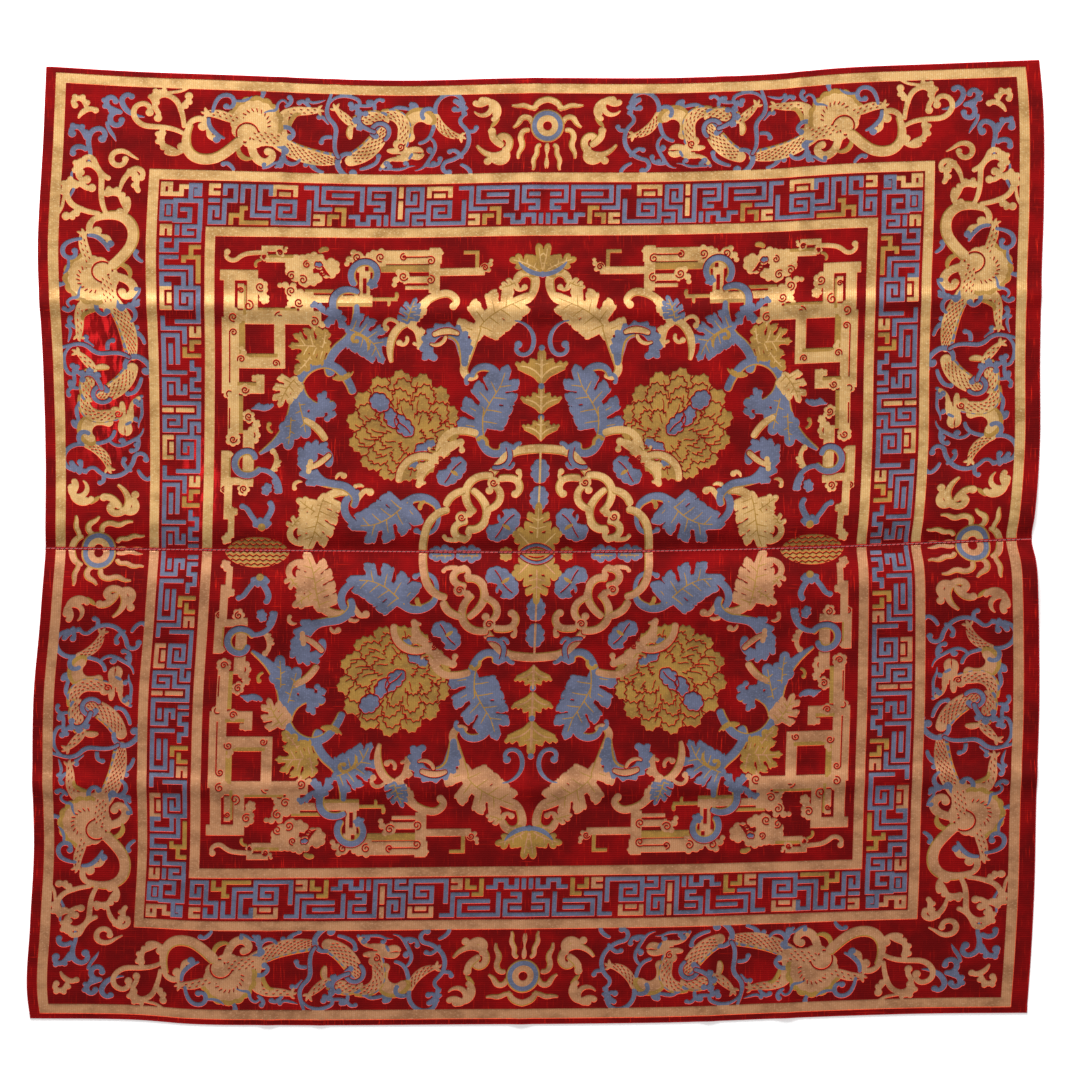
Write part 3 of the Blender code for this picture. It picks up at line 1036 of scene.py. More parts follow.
@dataclass(frozen=True)
class CornerDragon:
    """The corner's dragon in square straps: an arm along the top, one down the side, and its lobed head."""

    broad: float = 18.0
    strap: float = 14.0
    slim: float = 10.0
    lath: float = 5.0
    groove: float = 2.0
    motifs: Motifs = (
        # The straps that run from the corner towards the upright middle line
        Strap(OLIVE, 85, 370, 0, 20, lath),
        Strap(OLIVE, 85, 390, 15, 0, lath),
        Strap(GILT, 80, 365, 60, 0, slim),
        StrapEnd(GILT, 75, 370, 140, 6),
        Strap(OLIVE, 150, 370, 70, 0, slim),
        Strap(GILT, 140, 390, 0, -45, strap),
        Strap(GILT, 140, 385, 70, 0, broad),
        Strap(GILT, 210, 380, 30, 0, strap),
        Strap(GILT, 235, 380, 0, -10, slim),
        Strap(PILE, 150, 385, 30, 0, groove),
        Spiral(180, 385, 5, 90, -1),
        Spiral(145, 380, 6, 60),
        StrapEnd(GILT, 210, 385, 20, 8),
        StrapEnd(GILT, 240, 385, -25, 8),
        CloudHead(GILT, 135, 390, 6, 5, 150, 5),
        Strap(GILT, 145, 355, 30, 0, slim),
        Strap(GILT, 145, 345, 30, 0, lath),
        Strap(PILE, 150, 350, 25, 0, groove),
        Spiral(145, 355, 6, 90),
        StrapEnd(GILT, 180, 360, -35, 8),
        # The lobed head beside the corner, with the small dragon over it
        Scroll(OLIVE, 280, 395, 10, (8, -50), 7, 0.9, 0.7, 3),
        CloudHead(GILT, 275, 370, 13, 11, 120),
        CloudHead(GILT, 295, 380, 15, 10, 10),
        CloudHead(GILT, 315, 370, 16, 16, 0, 8),
        CloudHead(GILT, 300, 355, 18, 8, 165),
        Scroll(PILE, 275, 360, 30, (14, 40), 4, 0.3),
        CloudHead(BLUE, 290, 375, 5, 3, 10, 5, 0, 1.4),
        Spiral(305, 375, 5, 90, -1),
        Spiral(285, 365, 5, 200),
        Spiral(310, 355, 6, 60),
        Spiral(325, 360, 6, 120, -1),
        Strap(OLIVE, 325, 385, 30, 0, lath),
        Strap(GILT, 325, 380, 30, 0, 6),
        Strap(GILT, 340, 395, 20, 0, 8),
        StrapEnd(GILT, 340, 390, 150, 5),
        CloudHead(GILT, 360, 385, 6, 5, 90, 5, 3),
        Scroll(GILT, 360, 390, 0, (20, -8, 16, -35, 16, 95, 8, 80), 6, 1, 0.8, 4),
        Scroll(OLIVE, 365, 380, 0, (7, -60, 5, -60), 4),
        # The straps of the body between the two arms
        Strap(OLIVE, 190, 330, 40, 0, lath),
        Scroll(OLIVE, 190, 330, 130, (8, -60), 5),
        Scroll(OLIVE, 200, 330, 230, (8, 60), 4),
        Strap(OLIVE, 225, 325, 45, 0, slim),
        Strap(OLIVE, 270, 340, 35, 0, lath),
        Strap(GILT, 230, 360, 0, -25, strap),
        Strap(PILE, 230, 355, 0, -15, lath),
        Strap(GILT, 225, 330, 80, 0, slim),
        Strap(GILT, 305, 330, 0, -25, broad),
        CloudHead(GILT, 315, 330, 16, 11, 30),
        StrapEnd(GILT, 325, 340, 35, 8),
        StrapEnd(GILT, 315, 325, -20, 8),
        Strap(OLIVE, 320, 315, 50, 0, lath),
        Strap(GILT, 295, 305, 105, 0, broad),
        StrapEnd(GILT, 295, 300, 190, 8),
        Spiral(340, 305, 7, 90, -1),
        Strap(GILT, 340, 300, 0, -55, strap),
        Strap(OLIVE, 345, 255, 40, 0, lath),
        Strap(GILT, 340, 245, 50, 0, strap),
        Spiral(345, 245, 5, 200, -1),
        Strap(OLIVE, 390, 295, 0, -40, slim),
        Strap(GILT, 400, 300, 0, -145, strap),
        Strap(GILT, 410, 300, 0, -90, slim),
        Strap(PILE, 405, 285, 0, -65, groove),
        StrapEnd(GILT, 390, 250, 100, 7),
        Spiral(400, 285, 5, 0),
        # The square spiral in the corner, with its small lobed head
        Strap(GILT, 375, 360, 35, 0, strap),
        Strap(GILT, 375, 360, 0, -50, strap),
        Strap(GILT, 405, 360, 0, -50, strap),
        Strap(OLIVE, 385, 345, 0, -35, 4),
        Strap(GILT, 390, 345, 0, -25, 8),
        Strap(PILE, 385, 350, 12, 0, groove),
        Strap(PILE, 395, 350, 0, -35, groove),
        CloudHead(GILT, 365, 345, 10, 9, 60, 6, 6),
        CloudHead(GILT, 360, 330, 8, 6, 70, 6),
        Spiral(390, 340, 4, 0),
        Spiral(380, 320, 7, 90),
        CloudHead(GILT, 400, 305, 12, 10, 80, 7, 6),
        # The straps that run from the corner down towards the level middle line
        Strap(OLIVE, 370, 215, 20, 0, slim),
        Strap(GILT, 395, 210, -30, 0, slim),
        Strap(GILT, 365, 210, 0, 15, slim),
        CloudHead(GILT, 370, 225, 7, 5, 0, 5),
        CloudHead(GILT, 385, 210, 8, 7, 0, 6, 5),
        CloudHead(GILT, 405, 205, 9, 7, 60, 6, 5),
        Strap(OLIVE, 390, 200, 0, -45, lath),
        Strap(GILT, 400, 200, 0, -55, strap),
        Strap(PILE, 405, 185, 0, -25, groove),
        CloudHead(GILT, 380, 175, 9, 7, 60, 6, 5),
        CloudHead(GILT, 370, 165, 6, 5, 90, 5),
        CloudHead(GILT, 375, 150, 12, 9, 100, 7, 6),
        CloudHead(GILT, 400, 145, 9, 8, 0, 6, 5),
        Strap(OLIVE, 375, 140, 0, -50, lath),
        Strap(GILT, 380, 150, 0, -60, strap),
        Strap(GILT, 380, 90, 30, 0, slim),
        Strap(OLIVE, 405, 120, 0, -25, lath),
        Strap(GILT, 410, 125, 0, -40, slim),
        CloudHead(GILT, 405, 125, 6, 4, 0, 5),
        CloudHead(GILT, 385, 80, 9, 7, 100, 6, 5),
        CloudHead(GILT, 410, 80, 7, 5, 80, 5, 4),
        Strap(GILT, 405, 90, 0, -45, slim),
        CloudHead(GILT, 400, 50, 9, 6, 0, 6),
        Strap(GILT, 400, 45, 0, -25, 8),
        CloudHead(GILT, 405, 15, 8, 6, 120, 5),
    )


def fan(x: float, y: float, reach: float) -> Motifs:
    """A blue scalloped fan, spread across the ring's slanted line, with its veins."""
    return (
        CloudHead(BLUE, x, y, reach, reach * 0.55, 135, 11),
        CloudHead(PILE, x + 10, y + 10, reach * 0.5, reach * 0.25, 135, 5),
        *(Scroll(PILE, x, y, turn, (reach * 0.7, 20), LINE) for turn in (125, 290)),
        Scroll(OLIVE, x, y, 205, (reach * 0.4, 20), 5, 0.6, 0.3),
    )


@dataclass(frozen=True)
class Vines:
    """The field's blue and gilt vines, with the cut leaves, sprays and flowers that they carry.

    Each tier of the finial on the upright middle line has its level, its reach and its height.
    """

    stem: float = 10.0
    twig: float = 6.0
    rim: float = 1.8
    beads: tuple[float, ...] = (360, 265, 215, 175)
    tiers: tuple[tuple[float, float, float], ...] = ((225, 34, 28), (185, 26, 22), (150, 24, 20))
    motifs: Motifs = (
        # The long blue vine from the corner dragon round the peony
        Scroll(BLUE, 220, 350, 140, (18, -60, 22, -80, 24, -75, 16, -50), 8, 0.9, 1, 0, -rim, halo=1.2),
        CloudHead(BLUE, 220, 350, 7, 6, 30, 5),
        Scroll(BLUE, 240, 340, 30, (20, -50, 22, -70, 18, -20), 9, 0.8, 1, 0, -rim, halo=1.2),
        Scroll(BLUE, 275, 315, 200, (14, 30, 14, 60), 9, 1, 0.6, crest=(0.2, 1, 3, -9)),
        Scroll(BLUE, 270, 310, -70, (16, 50), 9, 1, 0.5, crest=(0.2, 1, 2, -9)),
        Scroll(BLUE, 275, 310, 10, (14, 40, 12, -60), 6, bulb=3, crest=(0.3, 1, 3, 7)),
        Scroll(BLUE, 240, 320, -95, (26, 20, 28, 38, 24, -25, 20, -50), 11, 0.6, 1, 0, rim),
        Leaf(BLUE, 250, 290, 195, (26, 20, 30, 45), 44),
        Scroll(OLIVE, 225, 265, 100, (14, -50, 14, -50, 10, -100, 8, -120), 4, 0.9, 0.8, 3),
        Scroll(BLUE, 245, 210, 72, (32, -28, 34, -65, 30, -45), stem, 0.9, 1, 0, -rim),
        Scroll(OLIVE, 245, 235, -60, (14, 40, 14, 40), 5, 0.4, crest=(0.1, 1, 4, 5)),
        Scroll(BLUE, 315, 215, -95, (20, -35, 24, -45, 16, -40), 12, shade=-rim),
        Scroll(BLUE, 295, 180, 160, (14, -50, 14, -60), 13, 1, 0.5, 4, crest=(0, 1, 4, 12)),
        Scroll(BLUE, 285, 190, 190, (14, 60, 10, 80), twig, bulb=4, crest=(0.1, 0.9, 2, -8)),
        Scroll(BLUE, 315, 215, -75, (28, -8, 30, 22, 30, 24, 18, 4), 13, 0.9, 0.25, 0, rim),
        Leaf(BLUE, 315, 195, -105, (42, 5), 24, 2),
        Leaf(BLUE, 325, 175, -90, (38, 10), 20, 2),
        Leaf(GILT, 320, 225, -45, (36, -30), 30, 3),
        Scroll(OLIVE, 350, 155, 20, (8, 60, 5, 60), 4, bulb=3),
        Leaf(OLIVE, 280, 265, 15, (36, -20), 44, 3, GILT),
        Leaf(OLIVE, 285, 265, 110, (24, -20), 12, 2, GILT),
        Leaf(OLIVE, 300, 255, -60, (28, 20), 14, 2, GILT),
        Scroll(GILT, 305, 170, 200, (18, 25, 16, 15), 8, 0.8, shade=rim),
        Scroll(BLUE, 350, 190, -50, (12, 50, 10, 40), twig, crest=(0.1, 1, 3, 7)),
        Scroll(BLUE, 360, 185, 20, (16, -40), twig, end=0.4),
        # The gilt leaf, gilt scroll and blue flower over the peony
        Scroll(GILT, 15, 330, 125, (22, -35, 20, -90, 18, -75), 10, 0.8, 0.8, shade=-rim),
        Scroll(GILT, 35, 350, -70, (10, -80, 10, -90), 5, bulb=4),
        Leaf(GILT, 35, 350, -35, (18, 30), 16, 2),
        Leaf(GILT, 85, 280, 100, (26, 40, 30, 15, 28, 5), 50),
        Scroll(GILT, 85, 290, -75, (24, 5, 26, 0, 14, -60, 14, -90), 9, 1, 0.8, 4, -rim),
        Scroll(BLUE, 35, 300, 185, (26, 55, 26, 60, 18, 90, 14, 110), twig, 0.3, 0.9, 5),
        Scroll(GILT, 115, 320, 160, (12, -100, 18, -65, 26, -35, 36, -20), 9, 0.8, shade=-rim),
        Disc(GILT, 115, 320, 5),
        Scroll(GILT, 150, 325, -50, (34, 5), 9, 1, crest=(0.1, 1, 5, -12)),
        Scroll(GILT, 170, 300, 0, (18, -45, 24, -35, 24, -25), 9, 0.9, 0.4, 0, -rim),
        Scroll(GILT, 170, 295, 200, (14, 50, 20, 40), 9, end=0.4, crest=(0.2, 1, 3, -10)),
        Scroll(GILT, 175, 280, 250, (10, 80, 8, 90), 5, bulb=4),
        Scroll(GILT, 185, 295, 70, (14, -60, 12, -90, 6, -60), 5, 0.7, 0.9, 4),
        Leaf(BLUE, 175, 300, 105, (28, 10), 24, 3),
        Scroll(BLUE, 100, 245, 88, (26, -12, 26, -75), 16, 0.5, 1, crest=(0.15, 1, 5, 16)),
        Scroll(BLUE, 125, 290, -5, (18, -40, 22, -55, 12, -60), 15, 1, 0.6, 5, crest=(0, 0.9, 5, 13)),
        Scroll(OLIVE, 105, 245, 88, (24, -12, 24, -90), 3, 0.4),
        Scroll(GILT, 110, 285, 25, (16, -30, 14, -20), 8, 0.7, 0.8, halo=1.2),
        Scroll(GILT, 125, 280, -75, (12, 50, 12, 50), 5, end=0.6, halo=1.2),
        Scroll(GILT, 160, 270, 20, (6, 0), 5, 0.8),
        # The blue leaf between the peony and the upright middle line
        Scroll(BLUE, 90, 230, 100, (14, 60, 16, 45, 22, 70), 9, 0.7, 1, 0, rim),
        Leaf(BLUE, 80, 155, 95, (28, 20, 30, 10, 26, -30), 54),
        Scroll(BLUE, 80, 185, -80, (28, -15, 26, -35, 18, -60, 14, -90), stem, 0.9, 0.9, 5, -rim),
        Scroll(BLUE, 90, 230, 10, (10, -80, 6, -60), 5, bulb=3),
        Scroll(OLIVE, 70, 140, 100, (10, -70, 8, -90), 5, bulb=3),
        # The peony, its blue heart and its calyx
        Peony(180, 165, 74, (165, 145)),
        CloudHead(BLUE, 180, 165, 20, 9, 45, 9, 0, LINE),
        CloudHead(BLUE, 195, 175, 15, 7, 70, 7, 0, LINE),
        CloudHead(BLUE, 210, 195, 13, 10, 40, 7, 0, LINE),
        Scroll(PILE, 170, 155, 60, (16, -30, 14, 50), LINE),
        Scroll(PILE, 185, 160, 40, (16, 60), LINE),
        CloudHead(BLUE, 155, 130, 12, 7, 80, 7, 0, LINE),
        CloudHead(BLUE, 145, 140, 9, 5, 160, 6),
        *(Disc(GILT, 145 + 5 * step, 135 - 5 * step, 2) for step in range(4)),
        CloudHead(BLUE, 165, 115, 6, 5, 0, 5),
        # The blue and gilt leaves under the peony, down to the level middle line
        Scroll(BLUE, 130, 50, 95, (16, -55, 24, -45, 22, -55), stem, 0.5, 1, 0, -rim),
        Leaf(BLUE, 170, 65, -45, (26, 5, 28, 25, 24, 30), 50),
        Scroll(BLUE, 175, 60, -105, (22, -25, 12, -90), 9, bulb=5),
        Scroll(BLUE, 235, 35, 15, (24, 55, 20, 60, 14, 30), stem, end=0.7),
        Scroll(BLUE, 130, 50, -100, (18, 35, 16, 60, 14, 40), twig, bulb=4, halo=1.2),
        Scroll(OLIVE, 150, 65, -20, (10, -80), twig, 0.7),
        Scroll(GILT, 250, 75, 25, (18, -45, 20, -45), stem, 0.4, 1, 0, -rim),
        Leaf(GILT, 280, 70, -70, (26, -10, 26, 5, 18, 20), 44),
        Leaf(GILT, 290, 50, 30, (26, 10), 20, 2),
        Scroll(GILT, 300, 10, -20, (20, 60, 16, 80, 8, 40), 8, 0.6),
        Leaf(GILT, 320, 30, 110, (16, 40), 16, 2),
        Scroll(GILT, 235, 65, 95, (14, 40, 10, 90), 7, 0.3, 0.9, 5),
        Scroll(GILT, 230, 85, 30, (10, -60), 5, 0.6, 0.9, 3),
        Scroll(BLUE, 240, 60, 120, (14, -60, 26, -55, 28, 15), stem, 0.8, 1, 0, -rim),
        Scroll(BLUE, 280, 90, 10, (22, 50, 22, 55), 18, 0.6, 1, crest=(0.1, 1, 4, -18)),
        Scroll(BLUE, 310, 120, 110, (18, 50, 20, 60, 16, 70), 12, 1, 0.8, 5, crest=(0, 0.6, 4, -14)),
        Scroll(GILT, 275, 125, -45, (16, 10, 14, 20), 7, halo=1.2),
        CloudHead(GILT, 300, 110, 12, 4, 100, 6),
        Scroll(GILT, 265, 95, 100, (8, 60, 6, 90), 5, 0.5, 0.9, 4),
        Scroll(GILT, 310, 90, 20, (8, -60, 8, -80), 5, 0.4, 0.9, 3),
        Scroll(GILT, 350, 105, 140, (14, -40, 14, -60), 6, 0.5, 0.9, 4, crest=(0, 0.5, 3, 8)),
        Scroll(BLUE, 365, 105, -50, (22, 60, 26, 95, 22, 75, 14, 80), 8, shade=rim, halo=1.2),
        Scroll(BLUE, 365, 105, 175, (14, 35, 16, 35, 14, 20), 7, crest=(0.5, 1, 3, 9)),
        CloudHead(BLUE, 355, 80, 9, 6, 110, 6),
        Scroll(BLUE, 355, 40, 130, (14, -20, 10, -60), 8, 1, 0.9, 4),
        Scroll(BLUE, 370, 40, 50, (14, 10, 10, -50), 7, 1, 0.9, 4),
        CloudHead(BLUE, 360, 35, 14, 7),
        Disc(OLIVE, 360, 30, 5),
        SeedHead(365, -5, 42, 22, 4),
        # The straps of the middle ring, their knots and their cloud heads
        Scroll(GILT, -5, 135, 0, (32, -8, 22, -38, 32, -8), stem, 1, shade=-rim),
        Scroll(BLUE, 60, 110, 190, (14, -40, 16, -65, 14, -20), twig, halo=1.2),
        Scroll(BLUE, 35, 135, 110, (10, 60), twig, bulb=3),
        Scroll(BLUE, 35, 135, 40, (12, -30), twig, bulb=4),
        Scroll(BLUE, 35, 115, -80, (8, 60, 5, 80), 5, bulb=3),
        Scroll(GILT, 85, 80, 215, (22, 25, 26, 55, 24, 75), 9, 0.8, 1, 0, rim),
        Scroll(GILT, 65, 100, 5, (14, -20, 30, -72, 28, -55), 9, 0.9, 0.8, 0, -rim, halo=1.5),
        Scroll(GILT, 100, 80, -12, (14, -25, 14, -35), 9, shade=-rim),
        Scroll(GILT, 120, 55, -10, (16, -30, 22, -35, 36, -20), 9, 0.9, 1, 0, -rim),
        Scroll(GILT, 65, 55, 165, (14, -35, 14, -50, 10, -40), 8, shade=-rim),
        Scroll(GILT, 50, 95, 170, (14, 20, 14, 70, 12, 70), 8, 1, 0.9, 5, -rim),
        Scroll(GILT, 30, 90, 130, (10, -30, 6, -60), 5, bulb=4),
        Disc(GILT, 65, 80, 5),
        Disc(GILT, 60, 90, 8),
        Spiral(60, 90, 5, 200),
        Scroll(GILT, 95, 40, 0, (12, -40, 14, -80, 14, -60), 8, 0.9, 1, 0, -rim),
        Scroll(GILT, 95, 15, 160, (8, -50, 6, -60), 7, 1, 1, 4),
        Scroll(GILT, 105, 15, 0, (12, 10, 6, 60), 6, 0.9, 0.7, 3),
        Disc(GILT, 90, 50, 5),
        Disc(GILT, 100, 45, 8),
        Spiral(100, 45, 5, 200),
        Scroll(GILT, 85, 155, 20, (22, -22, 20, -45, 20, -40), 9, 0.9, 1, 0, -rim),
        Scroll(GILT, 135, 120, 35, (16, -30, 26, -48, 26, -48), 9, shade=-rim, halo=1.5),
        Scroll(GILT, 130, 125, 120, (16, 30, 16, 10), 12, 1, 0.5, 5, -rim),
        Scroll(GILT, 105, 140, 230, (8, 40), 5, bulb=4),
        Disc(GILT, 125, 140, 6),
        Scroll(GILT, 140, 115, -20, (14, -30, 18, -50), 11, 1, 0.5, 5, -rim),
        Scroll(GILT, 150, 90, -10, (8, -20), 5, bulb=4),
        Disc(GILT, 155, 110, 6),
        Disc(GILT, 135, 120, 10),
        Spiral(130, 120, 4, 60),
        Spiral(135, 110, 4, 60),
        *fan(115, 105, 24),
        *fan(45, 35, 27),
        Scroll(BLUE, 50, 40, 60, (8, 40), 4, 0.7, 0.7),
        # What stands on the upright middle line, from the centre to the top
        Leaf(OLIVE, 0, 365, 75, (28, 8), 28, 2, GILT),
        Leaf(OLIVE, 5, 365, 35, (38, -25), 20, 3, GILT),
        *(Leaf(OLIVE, 0, y + 5, 85, (high * 0.9, 5), reach * 0.8, 2, GILT) for y, reach, high in tiers),
        *(
            Scroll(OLIVE, 0, y, 55, (reach, -65), high * 0.5, 1, 0.2, crest=(0.2, 1, 4, high * 0.45))
            for y, reach, high in tiers
        ),
        *(Scroll(GILT, 0, y, 60, (reach, -60), 2, 0.6, 0.3) for y, reach, high in tiers),
        *(Scroll(GILT, 0, y - 5, 90, (high, 0.5), 3, 0.6, 0.4) for y, reach, high in tiers),
        *(Disc(BLUE, 0, y, 4) for y in beads),
        Scroll(BLUE, 0, 360, 0, (20, 30, 16, 25), twig, 1, 0.3),
        *(CloudHead(BLUE, 0, y, 16, 11, 90, 8) for y in (70, 105)),
        *(Scroll(GILT, 0, y, 90, (size, 0.5), 3, 1, 1) for y, size in ((25, 60), (90, 45), (145, 30))),
        Leaf(OLIVE, 0, 15, 90, (42, 0.5), 30, 3, GILT),
        CloudHead(OLIVE, 0, 0, 24, 18, 0, 8),
        CloudHead(OLIVE, 20, 20, 13, 10, 45, 6),
        CloudHead(OLIVE, 40, 0, 8, 6, 0, 6),
        Scroll(GILT, 10, 10, 45, (20, 0.5), 2, 0.8, 0.4),
        *(Leaf(BLUE, x, 0, 0, (28, 0.5), 11, 2) for x in (75, 110)),
        Scroll(BLUE, 20, 0, 135, (24, 45), 4, 1, 1, halo=1.2),
        Scroll(PILE, 10, 0, 160, (10, 20), LINE),
    )

@dataclass(frozen=True)
class KeyBand:
    """The key fret between the two inner gilt frames, charted on its own squares."""

    pitch: float = 9.1
    side_pitch: float = 8.9
    line: float = 5.8
    foot: float = 428.6
    columns: int = 22
    repeat: tuple[tuple[Yarn, tuple[Point, ...]], ...] = (
        (GILT, ((13, 4), (13, 5), (16, 5), (16, 4))),
        (GILT, ((14, 4), (15, 4))),
        (BLUE, ((11, 3), (11, 0), (16, 0), (16, 3), (13, 3), (13, 1), (15, 1), (15, 2), (14, 2))),
        (BLUE, ((16, 1), (18, 1), (18, 0), (17, 0))),
        (BLUE, ((18, 4), (18, 3), (19, 3), (19, 5), (17, 5), (17, 2), (19, 2), (19, 0), (21, 0), (21, 5))),
        (BLUE, ((21, 5), (24.5, 5), (24.5, 3), (22.5, 3), (22.5, 2), (23.5, 2))),
        (BLUE, ((22.5, 4), (23.5, 4))),
        (GILT, ((20, 5), (20, 4))),
        (GILT, ((20, 3), (20, 1))),
        (BLUE, ((22, 1), (22, 0))),
        (BLUE, ((23, 0), (23, 1), (24.5, 1), (24.5, 0), (26, 0), (26, 1), (27, 1))),
        (BLUE, ((25.5, 2), (25.5, 5), (31, 5), (31, 3), (27, 3))),
        (BLUE, ((27, 4), (29.5, 4))),
        (OLIVE, ((28, 0), (28, 2), (29, 2))),
        (OLIVE, ((29, 1), (30, 1), (30, 0))),
        (GILT, ((32, 0), (31, 0), (31, 1), (32, 1))),
        (BLUE, ((30, 2), (32, 2), (32, 5), (33.5, 5))),
    )
    ending: tuple[tuple[Yarn, tuple[Point, ...]], ...] = (
        (BLUE, ((38.5, 4), (38.5, 5), (40, 5), (40, 2), (38, 2))),
        (BLUE, ((38, 1), (41, 1), (41, 5), (42.5, 5), (42.5, 3))),
        (OLIVE, ((39, 0), (42.5, 0), (42.5, 2), (42, 2))),
        (OLIVE, ((42.5, 1), (44, 1), (44, 0))),
        (
            BLUE,
            ((45, 4), (45, 5), (43.5, 5), (43.5, 3), (45, 3), (45, 0), (47, 0), (47, 2), (46, 2), (46, 1)),
        ),
        (GILT, ((46, 5), (47, 5), (47, 4), (46, 4))),
        (BLUE, ((46, 3), (47, 3))),
    )
    corner: tuple[tuple[Yarn, tuple[Point, ...]], ...] = (
        (BLUE, ((0, -1), (0, 2.9), (3.4, 2.9), (3.4, 0.2), (1.4, 0.2), (1.4, 1.7), (2.4, 1.7))),
        (BLUE, ((3.4, 2.7), (5.2, 2.7), (5.2, 0.4), (3.4, 0.4))),
        (BLUE, ((4.3, 2), (4.3, 1.2))),
        (GILT, ((4.2, 4.4), (4.2, 5.1), (5.2, 5.1), (5.2, 3.8), (2.7, 3.8), (2.7, 4.8), (1.9, 4.8))),
        (BLUE, ((1.4, 3), (1.4, 5), (0.2, 5), (0.2, 3.8), (0.7, 3.8), (0.7, 4.3))),
    )

    def draw(self, chart: Chart) -> None:
        """Draw the band along the top and the side, and its corner block."""
        top = Pen(chart, (self.pitch, 0), (0, self.pitch), (4.6, self.foot))
        side = Pen(chart, (0, self.side_pitch), (self.pitch, 0), (445, 4.6))
        for pen in (top, side):
            for start in (-self.columns, 0, self.columns):
                for yarn, corners in self.repeat:
                    placed = np.array(corners, float) + (start, 0)
                    if placed[:, 0].max() <= 16 + self.columns and placed[:, 0].min() >= -1:
                        pen.strap(yarn, placed, self.line)
            for yarn, corners in self.ending:
                pen.strap(yarn, corners, self.line)
        block = Pen(chart, (self.pitch, 0), (0, self.pitch), (444.6, self.foot))
        for yarn, corners in self.corner:
            block.strap(yarn, corners, self.line)


@dataclass(frozen=True)
class Figure:
    """The drawn quarter: its gilt frames and what fills each band and the field."""

    frame_width: float = 12.5
    frames: tuple[Point, ...] = ((437, 423), (510, 493), (630, 611))
    top_border_middle: float = 545.0
    side_border_middle: float = 565.0
    side_border_pitch: float = 0.93

    def draw(self, chart: Chart) -> int:
        """Draw the whole quarter.

        Args:
            chart: The chart that takes it.

        Returns:
            How many motifs it holds.
        """
        field = (*CornerDragon().motifs, *Vines().motifs, *CornerScrolls().motifs)
        border = BorderDragon().motifs
        top = Pen(chart, origin=(0, self.top_border_middle))
        side = Pen(chart, (0, self.side_border_pitch), (1, 0), (self.side_border_middle, 0))
        for motifs, pen in ((field, Pen(chart)), (border, top), (border, side)):
            for motif in motifs:
                motif.draw(pen)
        KeyBand().draw(chart)
        inset = self.frame_width / 2
        # Each frame runs past both middle lines, so that it is whole when the quarter is mirrored
        past = -20
        for wide, high in self.frames:
            corner = (wide - inset, high - inset)
            chart.strap(GILT, np.array(((past, corner[1]), corner, (corner[0], past))), self.frame_width)
        return len(field) + 2 * len(border)

BOTTOM, RIGHT, TOP, LEFT = range(4)
CROSSINGS: dict[int, tuple[tuple[int, int], ...]] = {
    1: ((BOTTOM, LEFT),),
    2: ((RIGHT, BOTTOM),),
    3: ((RIGHT, LEFT),),
    4: ((TOP, RIGHT),),
    5: ((BOTTOM, LEFT), (TOP, RIGHT)),
    6: ((TOP, BOTTOM),),
    7: ((TOP, LEFT),),
    8: ((LEFT, TOP),),
    9: ((BOTTOM, TOP),),
    10: ((RIGHT, BOTTOM), (LEFT, TOP)),
    11: ((RIGHT, TOP),),
    12: ((LEFT, RIGHT),),
    13: ((BOTTOM, RIGHT),),
    14: ((LEFT, BOTTOM),),
}


def thin_out(points: Array, tolerance: float) -> Array:
    """Leave out the points of a line that it doesn't need.

    Args:
        points: The line's points, one a row.
        tolerance: How far the thinned line may stand off them.

    Returns:
        The points that stay.
    """
    keep = np.zeros(len(points), bool)
    keep[[0, -1]] = True
    spans = [(0, len(points) - 1)]
    while spans:
        first, last = spans.pop()
        if last - first < 2:
            continue
        chord = points[last] - points[first]
        length = np.hypot(*chord)
        offset = points[first + 1 : last] - points[first]
        if length < 1e-6:
            away = np.hypot(*offset.T)
        else:
            away = np.abs(offset[:, 0] * chord[1] - offset[:, 1] * chord[0]) / length
        farthest = int(away.argmax())
        if away[farthest] > tolerance:
            middle = first + 1 + farthest
            keep[middle] = True
            spans += [(first, middle), (middle, last)]
    return points[keep]


